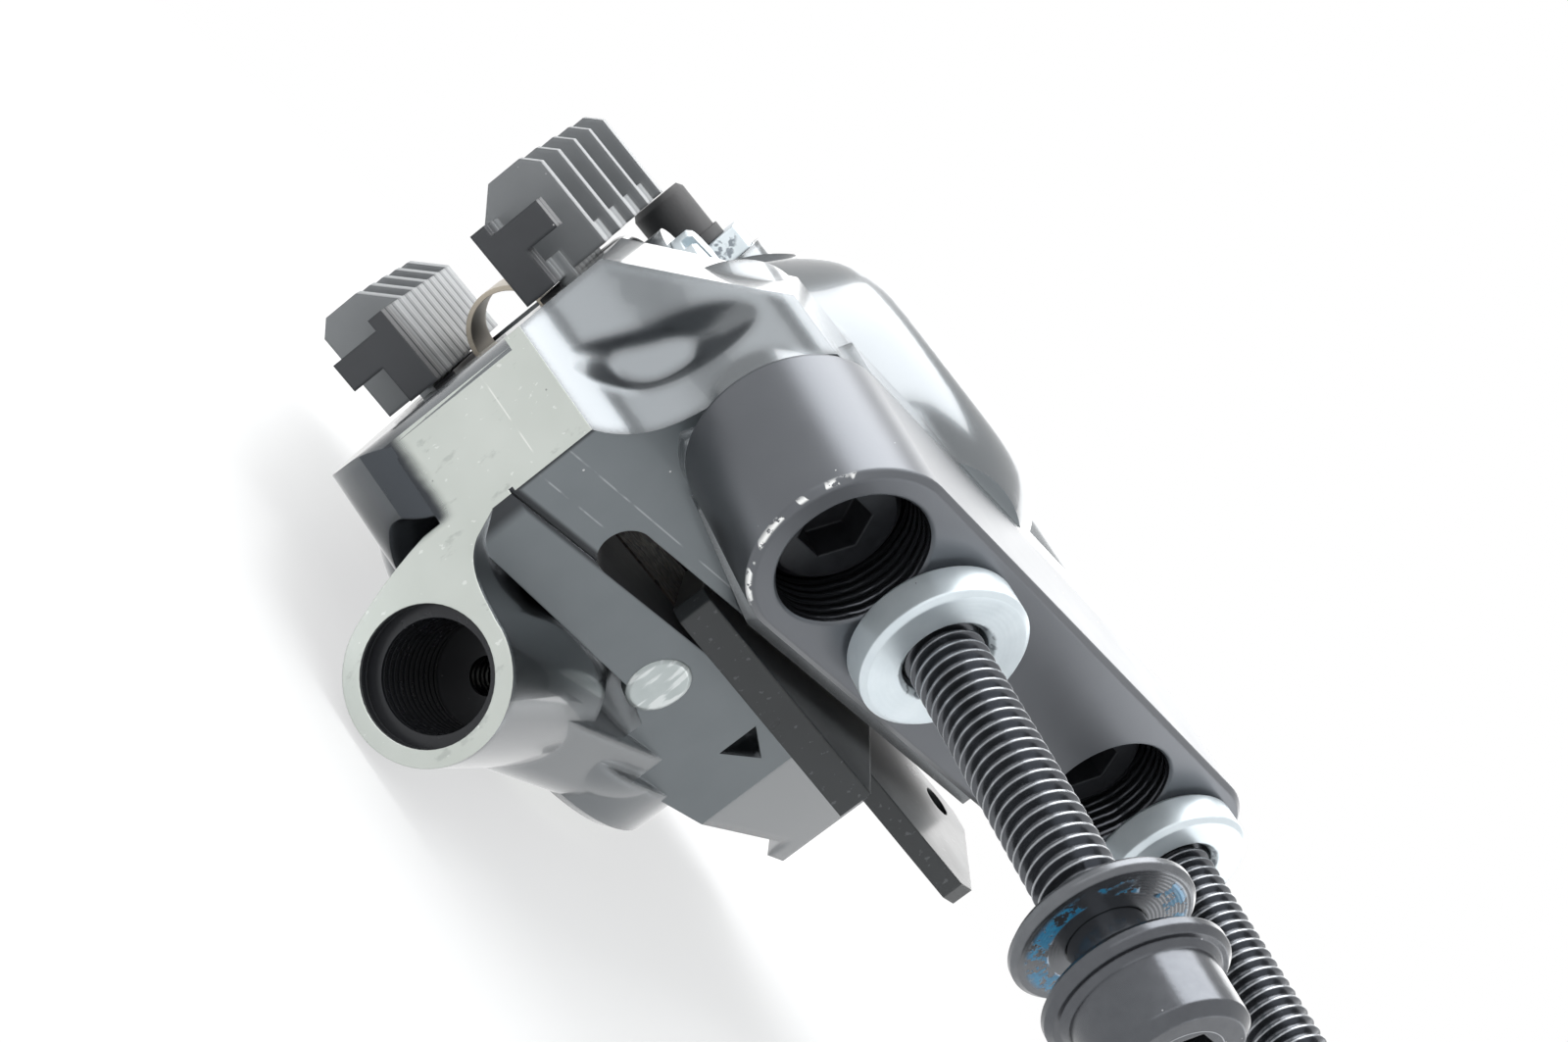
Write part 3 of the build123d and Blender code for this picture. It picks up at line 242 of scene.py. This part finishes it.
def slot_walls():
    """Rough cast walls of the rotor slot, made nearly black by painted shade."""
    s = Shader("slot_walls")
    cloud = s.noise(1.5, 3.0)
    color = s.mix(cloud, rgb(0.016, 0.017, 0.02), rgb(0.03, 0.032, 0.036))
    normal = s.bump(s.noise(0.3, 3.0), 0.3, 0.05)
    return s.finish(color, s.scaled(cloud, 0.5, 0.7), 0.0, normal)


def seam_lines(s, heights, width):
    """Thin lines left where two machining passes met, broken up by wear."""
    lines = 0.0
    for height in heights:
        away = s.math("ABSOLUTE", s.math("SUBTRACT", s.z, height))
        lines = s.math("MAXIMUM", lines, s.fall(away, 0.3 * width, width))
    return s.product(lines, s.ramp(s.noise(1.8, 2.0), 0.42, 0.56))


def machined_aluminium():
    """Bare milled faces: greenish silver with mill marks and smears; past the strip's end, black paint
    drawn darker still as a painted dark reflection.
    """
    s = Shader("machined_aluminium")
    cloud = s.noise(5.0, 2.0)
    smears = s.ramp(s.noise(1.1, 4.0, stretch=(1.0, 1.0, 0.45), rough=0.62), 0.60, 0.70)
    pits = s.specks(0.9, 0.07)
    lines = s.noise(0.16, 2.0, stretch=(0.15, 1.0, 0.15))
    grain = s.noise(0.12, 2.0)
    scratch = s.ramp(s.noise(0.55, 2.0, stretch=(2.5, 0.12, 0.9)), 0.69, 0.72)
    color = s.mix(cloud, rgb(0.50, 0.535, 0.50), rgb(0.60, 0.63, 0.60))
    color = s.tint(color, rgb(0.27, 0.29, 0.28), smears, 0.35)
    color = s.tint(color, rgb(0.15, 0.16, 0.16), pits, 0.6)
    color = s.tint(color, rgb(0.82, 0.84, 0.82), scratch, 0.45)
    color = s.tint(color, rgb(0.86, 0.87, 0.84), seam_lines(s, STRIP_SEAMS, 0.07), 0.6)
    waver = s.math("MULTIPLY", s.math("SUBTRACT", s.noise(2.0, 2.0), 0.5), 0.8)
    # Past the strip's end the rounded corner is black paint, drawn darker than the body's own paint as a
    # painted dark reflection
    past_end = s.fall(s.math("ADD", s.z, waver), STRIP_END_Z - 0.35, STRIP_END_Z + 0.75)
    outside = s.ramp(s.along(STRIP_SIDE), STRIP_NECK_SIDE - 0.3, STRIP_NECK_SIDE + 0.4)
    coat_and_dark_reflection = s.product(past_end, outside)
    color = s.tint(color, rgb(0.05, 0.055, 0.062), coat_and_dark_reflection)
    rough = s.math("ADD", s.scaled(cloud, 0.27, 0.36), s.math("MULTIPLY", smears, 0.12))
    rough = s.math("SUBTRACT", rough, s.math("MULTIPLY", coat_and_dark_reflection, 0.12))
    height = s.math("ADD", lines, s.math("MULTIPLY", grain, 0.6))
    normal = s.bump(height, 0.16, 0.02, s.soft_edges(0.12))
    return s.finish(color, rough, 0.9, normal)


def milled_underside():
    """Grey milled face of the body, darker than the bare strip, with seam lines, and painted shade in
    the groove, at the bar's end and along the step by the strip.
    """
    s = Shader("milled_underside")
    cloud = s.noise(3.0, 3.0)
    lines = s.noise(0.2, 2.0, stretch=(0.2, 1.0, 1.0))
    color = s.mix(cloud, rgb(0.135, 0.153, 0.163), rgb(0.165, 0.183, 0.194))
    color = s.tint(color, rgb(0.4, 0.42, 0.43), seam_lines(s, UNDERSIDE_SEAMS, 0.08), 0.55)
    color = s.tint(color, rgb(0.5, 0.5, 0.5), s.specks(1.5, 0.05))
    behind = s.behind_strip()
    # Painted shade: near black in the groove, at the bar's end and along the step by the strip
    groove = s.fall(s.math("ABSOLUTE", s.math("SUBTRACT", s.z, GROOVE_Z)), 0.25, 0.55)
    bar_end = s.product(s.fall(s.z, GROOVE_Z - 0.2, GROOVE_Z + 0.1), s.fall(behind, 0.8, 1.8))
    rim = s.fall(behind, 0.06, 0.3)
    shade = s.math("MAXIMUM", s.math("MAXIMUM", groove, bar_end), rim)
    color = s.tint(color, rgb(0.018, 0.02, 0.024), shade, 0.9)
    normal = s.bump(lines, 0.12, 0.03, s.soft_edges(0.12))
    return s.finish(color, s.scaled(cloud, 0.36, 0.46), 0.55, normal)


def port_inside():
    """Threaded and bored walls of the hose port: painted shade makes them nearly black, with painted
    highlights on the thread crests and painted light just inside the mouth.
    """
    s = Shader("port_inside")
    depth = s.behind_strip()
    turns = s.wave(depth, PORT_THREAD_PITCH)
    stains = s.noise(1.2, 3.0)
    # Painted shade darkens the bore, and painted highlights light the thread crests
    color = s.tint(rgb(0.014, 0.015, 0.018), rgb(0.10, 0.105, 0.11), s.ramp(turns, 0.6, 0.97), 0.5)
    color = s.tint(color, rgb(0.026, 0.028, 0.032), stains, 0.4)
    # Painted light just inside the mouth of the port
    color = s.tint(color, rgb(0.35, 0.36, 0.36), s.fall(depth, 0.1, 0.5), 0.25)
    normal = s.bump(turns, 0.4, 0.1)
    return s.finish(color, s.scaled(stains, 0.2, 0.32), 0.2, normal)


def bracket_paint():
    """Satin black finish, chipped along the rim of the near end, with painted shade darkening the
    counterbores.
    """
    s = Shader("bracket_paint")
    cloud = s.noise(6.0, 3.0)
    grain = s.noise(0.16, 2.0)
    dust = s.specks(1.5, 0.045)
    color = s.mix(cloud, rgb(0.115, 0.122, 0.134), rgb(0.14, 0.148, 0.16))
    color = s.tint(color, rgb(0.7, 0.7, 0.7), dust)
    rim = s.ramp(s.distance_from_axis(BRACKET_X[0]), BRACKET_RADIUS - 0.32, BRACKET_RADIUS - 0.2)
    face = s.fall(s.y, 0.2, 0.5)
    end = s.fall(s.x, CHIPS_END_X - 1.8, CHIPS_END_X)
    side = s.fall(s.z, CHIPS_END_Z - 1.0, CHIPS_END_Z)
    torn = s.ramp(s.noise(0.4, 4.0, rough=0.7), 0.43, 0.46)
    clusters = s.ramp(s.noise(1.7, 2.0), 0.50, 0.53)
    color = s.tint(color, rgb(0.93, 0.94, 0.93), s.product(rim, face, end, side, torn, clusters))
    inside = 0.0
    for x in BRACKET_X:
        hole = s.fall(s.distance_from_axis(x), COUNTERBORE_RADIUS + 0.02, COUNTERBORE_RADIUS + 0.06)
        inside = s.math("MAXIMUM", inside, hole)
    waver = s.math("MULTIPLY", s.noise(1.5, 2.0), 3.0)
    ripple = s.product(inside, s.wave(s.y, COUNTERBORE_RIPPLE, waver))
    # Painted shade inside the counterbores
    color = s.tint(color, rgb(0.055, 0.058, 0.065), inside)
    rough = s.math("SUBTRACT", s.scaled(cloud, 0.30, 0.38), s.math("MULTIPLY", inside, 0.15))
    normal = s.bump(grain, 0.1, 0.03, s.soft_edges(0.25))
    normal = s.bump(ripple, 0.5, 0.12, normal)
    return s.finish(color, rough, 0.85, normal)


def black_bolt():
    """Black oxide steel with painted highlights on the thread crests."""
    s = Shader("black_bolt")
    patchy = s.noise(0.8, 4.0, rough=0.65)
    radius = s.distance_from_bolts()
    outer = s.ramp(radius, THREAD_RADIUS - 0.08, THREAD_RADIUS - 0.03)
    crest = s.product(outer, s.fall(radius, THREAD_RADIUS - 0.01, THREAD_RADIUS + 0.02))
    # Painted highlight: thread crests drawn lighter, more strongly in some places than others
    crest_highlight = s.product(crest, s.scaled(patchy, 0.35, 1.0))
    color = s.mix(patchy, rgb(0.085, 0.09, 0.1), rgb(0.12, 0.127, 0.138))
    color = s.tint(color, rgb(0.55, 0.57, 0.6), crest_highlight, 0.75)
    color = s.tint(color, rgb(0.5, 0.5, 0.52), s.specks(0.7, 0.05))
    normal = s.bump(s.noise(0.25, 3.0), 0.12, 0.04, s.soft_edges(0.15))
    return s.finish(color, s.scaled(patchy, 0.16, 0.26), 0.9, normal)


def socket_bolt():
    """Matt black caliper bolts deep in their counterbores."""
    s = Shader("socket_bolt")
    patchy = s.noise(0.7, 3.0)
    color = s.mix(patchy, rgb(0.018, 0.019, 0.022), rgb(0.035, 0.037, 0.042))
    normal = s.bump(s.noise(0.2, 3.0), 0.15, 0.04, s.soft_edges(0.2))
    return s.finish(color, s.scaled(patchy, 0.3, 0.45), 0.5, normal)


def black_washer():
    """Black washer with flakes of blue thread locker round its hole."""
    s = Shader("black_washer")
    patchy = s.noise(0.9, 4.0, rough=0.6)
    radius = s.distance_from_bolts()
    ring = s.product(s.ramp(radius, 3.3, 3.45), s.fall(radius, 4.3, 4.8))
    side = s.fall(s.y, WASHER_STEP_Y - 0.08, WASHER_STEP_Y)
    flakes = s.ramp(s.noise(0.8, 5.0, rough=0.7), 0.475, 0.505)
    patch = s.ramp(s.noise(2.6, 2.0), 0.36, 0.44)
    glue = s.product(ring, side, flakes, patch)
    color = s.mix(patchy, rgb(0.125, 0.132, 0.143), rgb(0.17, 0.178, 0.19))
    shade = s.mix(s.noise(0.3, 3.0), rgb(0.01, 0.12, 0.27), rgb(0.04, 0.30, 0.50))
    color = s.tint(color, shade, glue)
    turned = s.math("MULTIPLY", s.wave(radius, 0.22), 0.12)
    height = s.math("ADD", turned, s.math("MULTIPLY", glue, 2.0))
    normal = s.bump(height, 0.3, 0.05, s.soft_edges(0.15))
    metal = s.math("SUBTRACT", 0.85, s.math("MULTIPLY", glue, 0.85))
    return s.finish(color, s.scaled(patchy, 0.18, 0.28), metal, normal)


def zinc_ring():
    """Zinc plating with turning marks and a darker, broken band round the hole."""
    s = Shader("zinc_ring")
    stains = s.noise(2.0, 4.0, rough=0.6)
    radius = s.distance_from_bolts()
    turned = s.wave(radius, 0.34, s.math("MULTIPLY", stains, 2.0))
    color = s.mix(stains, rgb(0.56, 0.63, 0.67), rgb(0.72, 0.78, 0.81))
    hole = s.fall(radius, RING_HOLE_RADIUS, RING_HOLE_RADIUS + 0.4)
    patchy = s.ramp(s.noise(0.6, 3.0), 0.5, 0.6)
    color = s.tint(color, rgb(0.22, 0.25, 0.28), s.product(hole, patchy))
    color = s.tint(color, rgb(0.2, 0.22, 0.24), s.specks(1.1, 0.05))
    height = s.math("ADD", s.math("MULTIPLY", turned, 0.25), s.noise(0.2, 2.0))
    normal = s.bump(height, 0.07, 0.03, s.soft_edges(0.2))
    return s.finish(color, s.scaled(stains, 0.26, 0.40), 0.65, normal)


def finned_aluminium():
    """Heat sinks with a fine blasted grain: black hooked feet, fins made grey by painted light, and
    painted shade in the grooves.
    """
    s = Shader("finned_aluminium")
    cloud = s.noise(3.0, 3.0)
    grain = s.noise(0.15, 3.0)
    along = s.along(PAD_ALONG)
    groove = s.ramp(s.wave(along, SINK_GROOVE), -0.2, 0.7)
    hooks = s.mix(cloud, rgb(0.03, 0.032, 0.036), rgb(0.045, 0.048, 0.053))
    # Painted light: the fins are drawn grey, much lighter than the black hooks
    fins_painted_light = s.mix(cloud, rgb(0.25, 0.262, 0.27), rgb(0.32, 0.334, 0.343))
    color = s.mix(s.ramp(along, HOOKS_END, FINS_START), hooks, fins_painted_light)
    # Painted shade darkens the grooves
    color = s.tint(color, rgb(0.05, 0.052, 0.056), groove, 0.45)
    color = s.tint(color, rgb(0.4, 0.4, 0.4), s.specks(1.2, 0.05))
    normal = s.bump(grain, 0.12, 0.03, s.soft_edges(0.35))
    normal = s.bump(groove, 0.6, 0.25, normal)
    return s.finish(color, s.scaled(cloud, 0.42, 0.52), 0.15, normal)


def coated_and_shaded_plate():
    """Steel backplates of the pads under a black coating, drawn darker still by painted shade in the
    slot.
    """
    s = Shader("coated_and_shaded_plate")
    cloud = s.noise(2.0, 3.0)
    # Black coating, drawn darker still as painted shade in the slot
    color = s.mix(cloud, rgb(0.02, 0.021, 0.023), rgb(0.04, 0.04, 0.043))
    normal = s.bump(s.noise(0.2, 3.0), 0.3, 0.03, s.soft_edges(0.12))
    return s.finish(color, s.scaled(cloud, 0.4, 0.55), 0.3, normal)


def friction_lining():
    """Sintered lining: dark grains of metal and grit, drawn darker still by painted shade in the slot.
    """
    s = Shader("friction_lining")
    grains = s.node("ShaderNodeTexVoronoi")
    s.feed(grains.inputs["Vector"], s.position)
    grains.inputs["Scale"].default_value = 1 / (0.35 * MM)
    pick = s.node("ShaderNodeSeparateColor")
    s.feed(pick.inputs[0], grains.outputs["Color"])
    # The lining's own dark tone, drawn darker still as painted shade in the slot
    color = s.mix(pick.outputs[0], rgb(0.05, 0.045, 0.042), rgb(0.13, 0.105, 0.085))
    normal = s.bump(grains.outputs["Distance"], 0.5, 0.08)
    return s.finish(color, s.scaled(pick.outputs[1], 0.55, 0.85), 0.25, normal)


def spacer_plastic():
    """Dark moulded plastic with faint flow lines and scuffs."""
    s = Shader("spacer_plastic")
    cloud = s.noise(4.0, 2.0)
    flow = s.noise(0.6, 2.0, stretch=(1.0, 0.3, 1.0))
    scuffs = s.ramp(s.noise(0.5, 3.0, stretch=(0.5, 2.0, 1.0)), 0.64, 0.70)
    color = s.mix(cloud, rgb(0.025, 0.028, 0.03), rgb(0.04, 0.044, 0.047))
    color = s.tint(color, rgb(0.2, 0.21, 0.22), scuffs, 0.3)
    normal = s.bump(flow, 0.1, 0.05, s.soft_edges(0.25))
    return s.finish(color, s.scaled(cloud, 0.24, 0.36), 0.0, normal)


def spring_steel():
    """Thin rolled steel with a warm tone."""
    s = Shader("spring_steel")
    rolled = s.noise(0.3, 3.0, stretch=(1.0, 1.0, 0.1))
    color = s.mix(rolled, rgb(0.50, 0.44, 0.36), rgb(0.66, 0.60, 0.50))
    normal = s.bump(rolled, 0.15, 0.03, s.soft_edges(0.08))
    return s.finish(color, s.scaled(rolled, 0.28, 0.4), 0.85, normal)


def dull_plug():
    """Pressed-in plug: dull silver with pale smears."""
    s = Shader("dull_plug")
    cloud = s.noise(1.2, 3.0)
    smears = s.ramp(s.noise(1.0, 3.0, stretch=(1.6, 1.0, 0.35)), 0.50, 0.60)
    color = s.mix(cloud, rgb(0.36, 0.40, 0.40), rgb(0.46, 0.50, 0.50))
    color = s.tint(color, rgb(0.72, 0.75, 0.75), smears, 0.6)
    normal = s.bump(s.noise(0.15, 3.0), 0.2, 0.03, s.soft_edges(0.2))
    return s.finish(color, s.scaled(cloud, 0.36, 0.5), 0.85, normal)


def piston_resin():
    """Cream resin of the pistons."""
    s = Shader("piston_resin")
    cloud = s.noise(2.0, 3.0)
    color = s.mix(cloud, rgb(0.62, 0.58, 0.50), rgb(0.72, 0.68, 0.6))
    normal = s.bump(s.noise(0.15, 2.0), 0.1, 0.03, s.soft_edges(0.15))
    return s.finish(color, s.scaled(cloud, 0.3, 0.45), 0.0, normal)


def black_rubber():
    """Soft black rubber of the seals and the bleed cap."""
    s = Shader("black_rubber")
    cloud = s.noise(1.5, 3.0)
    color = s.mix(cloud, rgb(0.025, 0.025, 0.026), rgb(0.045, 0.045, 0.047))
    normal = s.bump(s.noise(0.25, 4.0), 0.3, 0.04, s.soft_edges(0.2))
    return s.finish(color, s.scaled(cloud, 0.5, 0.7), 0.0, normal)


PAINT = body_paint()
MACHINED = machined_aluminium()
MILLED = milled_underside()
PORT_INSIDE = port_inside()
BOLT = black_bolt()
WASHER = black_washer()
ZINC = zinc_ring()
FINS = finned_aluminium()
PLATE = coated_and_shaded_plate()
LINING = friction_lining()
SLOT_WALLS = slot_walls()
SPRING = spring_steel()
RESIN = piston_resin()
RUBBER = black_rubber()

MATERIALS = {
    "caliper_body": PAINT,
    "mount_bracket": bracket_paint(),
    "caliper_bolts": socket_bolt(),
    "near_frame_bolt": BOLT,
    "far_frame_bolt": BOLT,
    "near_head_washer": WASHER,
    "far_head_washer": WASHER,
    "near_spacer_ring": ZINC,
    "far_spacer_ring": ZINC,
    "outboard_piston": RESIN,
    "inboard_piston": RESIN,
    "outboard_piston_seal": RUBBER,
    "inboard_piston_seal": RUBBER,
    "outboard_backplate": PLATE,
    "inboard_backplate": PLATE,
    "outboard_lining": LINING,
    "inboard_lining": LINING,
    "outboard_heat_sink": FINS,
    "inboard_heat_sink": FINS,
    "outboard_sink_rivets": MACHINED,
    "inboard_sink_rivets": MACHINED,
    "pad_return_spring": SPRING,
    "transport_spacer": spacer_plastic(),
    "bore_cap": MACHINED,
    "bore_cap_seal": RUBBER,
    "pad_axle": ZINC,
    "axle_clip": SPRING,
    "bleed_screw": ZINC,
    "bleed_cap": RUBBER,
    "passage_plug": dull_plug(),
}
for name, material in MATERIALS.items():
    mesh = nodes[name].data
    mesh.materials.clear()
    mesh.materials.append(material)


def paint_faces(name, material, chosen, tallest=math.inf):
    """Gives a material to the faces that chosen(centre, normal) picks, if they aren't too tall."""
    mesh = nodes[name].data
    mesh.materials.append(material)
    index = len(mesh.materials) - 1
    for face in mesh.polygons:
        heights = [mesh.vertices[corner].co.z / MM for corner in face.vertices]
        if max(heights) - min(heights) <= tallest and chosen(face.center / MM, face.normal):
            face.material_index = index


def port_radius(point):
    """Distance of a point from the hose port's axis."""
    offset = point - Vector(PORT)
    return (offset - offset.dot(STRIP_NORMAL) * STRIP_NORMAL).length


def on_near_plane(point, normal):
    """The bare strip and port ring, with the part of the rounded corner that the strip fades into."""
    behind = STRIP_DISTANCE - point.dot(STRIP_NORMAL)
    facing = normal.dot(STRIP_NORMAL)
    if abs(behind) < SAME_PLACE and facing > 0.99:
        return True
    corner = point.z < STRIP_END_Z + 3 and point.dot(STRIP_SIDE) > STRIP_NECK_SIDE
    return corner and behind < 1.5 and facing > 0.85


def in_port(point, normal):
    """The port's bore, up to the middle of the body."""
    behind = STRIP_DISTANCE - point.dot(STRIP_NORMAL)
    return port_radius(point) < PORT_RADIUS and behind > SAME_PLACE and point.x < -10


def on_underside(point, normal):
    """The milled face round the slot, and the edge of the groove in it."""
    return UNDERSIDE_Y - SAME_PLACE < point.y < UNDERSIDE_Y + 0.3 and normal.y < -0.99


def in_slot(point, normal):
    """The rotor slot's walls, but not the underside that it opens in."""
    inside = abs(point.z - SLOT_Z) < SLOT_HALF_WIDTH + 0.05
    return inside and point.y > UNDERSIDE_Y + 0.05 and normal.y > -0.9


# Painted shade: the slot's walls get the nearly black slot walls material
paint_faces("caliper_body", SLOT_WALLS, in_slot, 2 * SLOT_HALF_WIDTH + 0.1)
paint_faces("caliper_body", MACHINED, on_near_plane)
paint_faces("caliper_body", PORT_INSIDE, in_port)
paint_faces("caliper_body", MILLED, on_underside)


# Camera
camera = bpy.data.objects.new("camera", bpy.data.cameras.new("camera"))
bpy.context.scene.collection.objects.link(camera)
right, up = Vector(CAMERA_RIGHT), Vector(CAMERA_UP)
back = right.cross(up)
camera.matrix_world = Matrix.Translation(CAMERA_PLACE) @ Matrix((right, up, back)).transposed().to_4x4()
camera.data.sensor_width = SENSOR_WIDTH
camera.data.sensor_fit = "HORIZONTAL"
camera.data.lens = CAMERA_LENS
camera.data.clip_start = 0.001
camera.data.clip_end = 50.0
bpy.context.scene.camera = camera


# Floor, world and lamps
def seen_directly(tree):
    """1 for rays that come from the camera or off or through a shiny surface."""
    path = tree.nodes.new("ShaderNodeLightPath")
    total = path.outputs["Is Camera Ray"]
    for name in ("Is Glossy Ray", "Is Transmission Ray"):
        most = tree.nodes.new("ShaderNodeMath")
        most.operation = "MAXIMUM"
        tree.links.new(total, most.inputs[0])
        tree.links.new(path.outputs[name], most.inputs[1])
        total = most.outputs[0]
    return total


def make_floor():
    """White floor that takes the object's shadow and goes over into the white background further off."""
    reach = FLOOR_REACH * MM
    corners = [(-reach, -reach, 0), (reach, -reach, 0), (reach, reach, 0), (-reach, reach, 0)]
    mesh = bpy.data.meshes.new("floor")
    mesh.from_pydata(corners, [], [(0, 1, 2, 3)])
    floor = bpy.data.objects.new("floor", mesh)
    floor.location = Vector(FLOOR_CENTRE) * MM
    bpy.context.scene.collection.objects.link(floor)
    s = Shader("floor")
    shown = s.scaled(s.ramp(s.measure("DISTANCE", (0.0, 0.0, 0.0)), 20.0, 95.0), 0.6, 1.0)
    mirrored = s.scaled(s.ramp(s.measure("DISTANCE", DARK_CORNER), 8.0, 24.0), 0.1, 1.0)
    camera_ray = s.node("ShaderNodeLightPath").outputs["Is Camera Ray"]
    mirror_ray = s.math("SUBTRACT", seen_directly(s.tree), camera_ray)
    fade = s.math("ADD", s.product(shown, camera_ray), s.product(mirrored, mirror_ray))
    s.finish(rgb(0.92, 0.93, 0.93), 0.9, 0.0, Specular_IOR_Level=0.0)
    white = s.node("ShaderNodeEmission")
    white.inputs["Color"].default_value = rgb(1, 1, 1)
    white.inputs["Strength"].default_value = 1.0
    mixed = s.node("ShaderNodeMixShader")
    s.feed(mixed.inputs[0], fade)
    s.tree.links.new(s.principled.outputs[0], mixed.inputs[1])
    s.tree.links.new(white.outputs[0], mixed.inputs[2])
    s.tree.links.new(mixed.outputs[0], s.tree.nodes["Material Output"].inputs["Surface"])
    mesh.materials.append(s.material)


def make_world():
    """White where the camera or a shiny surface sees it, and a soft cool light everywhere else."""
    world = bpy.data.worlds.new("studio")
    bpy.context.scene.world = world
    world.use_nodes = True
    tree = world.node_tree
    lit = tree.nodes["Background"]
    lit.inputs["Color"].default_value = rgb(0.94, 0.97, 1.0)
    lit.inputs["Strength"].default_value = 0.55
    shown = tree.nodes.new("ShaderNodeBackground")
    shown.inputs["Color"].default_value = rgb(1, 1, 1)
    shown.inputs["Strength"].default_value = 1.0
    mix = tree.nodes.new("ShaderNodeMixShader")
    tree.links.new(seen_directly(tree), mix.inputs[0])
    tree.links.new(lit.outputs[0], mix.inputs[1])
    tree.links.new(shown.outputs[0], mix.inputs[2])
    tree.links.new(mix.outputs[0], tree.nodes["World Output"].inputs["Surface"])


def make_lamp(name, azimuth, elevation, distance, width, height, brightness, diffuse=1.0):
    """A soft panel that faces the object from a direction in degrees, with its sizes in millimetres."""
    data = bpy.data.lights.new(name, "AREA")
    data.shape = "RECTANGLE"
    data.size = width * MM
    data.size_y = height * MM
    data.energy = brightness * math.pi * data.size * data.size_y
    data.diffuse_factor = diffuse
    turn, rise = math.radians(azimuth), math.radians(elevation)
    toward = Vector((math.cos(turn) * math.cos(rise), math.sin(turn) * math.cos(rise), math.sin(rise)))
    lamp = bpy.data.objects.new(name, data)
    lamp.location = (Vector(LAMPS_FACE) + toward * distance) * MM
    lamp.rotation_euler = (-toward).to_track_quat("-Z", "Y").to_euler()
    lamp.visible_camera = False
    bpy.context.scene.collection.objects.link(lamp)


make_floor()
make_world()
make_lamp("left_panel", -168, 30, 420, 400, 300, 1.4)
make_lamp("top_panel", 100, 66, 450, 440, 520, 4.4, 0.25)
make_lamp("back_panel", 38, 15, 550, 600, 300, 1.8, 0.1)
make_lamp("right_panel", -42, 5, 400, 420, 120, 2.6, 0.15)

bpy.context.scene.view_settings.view_transform = "Standard"
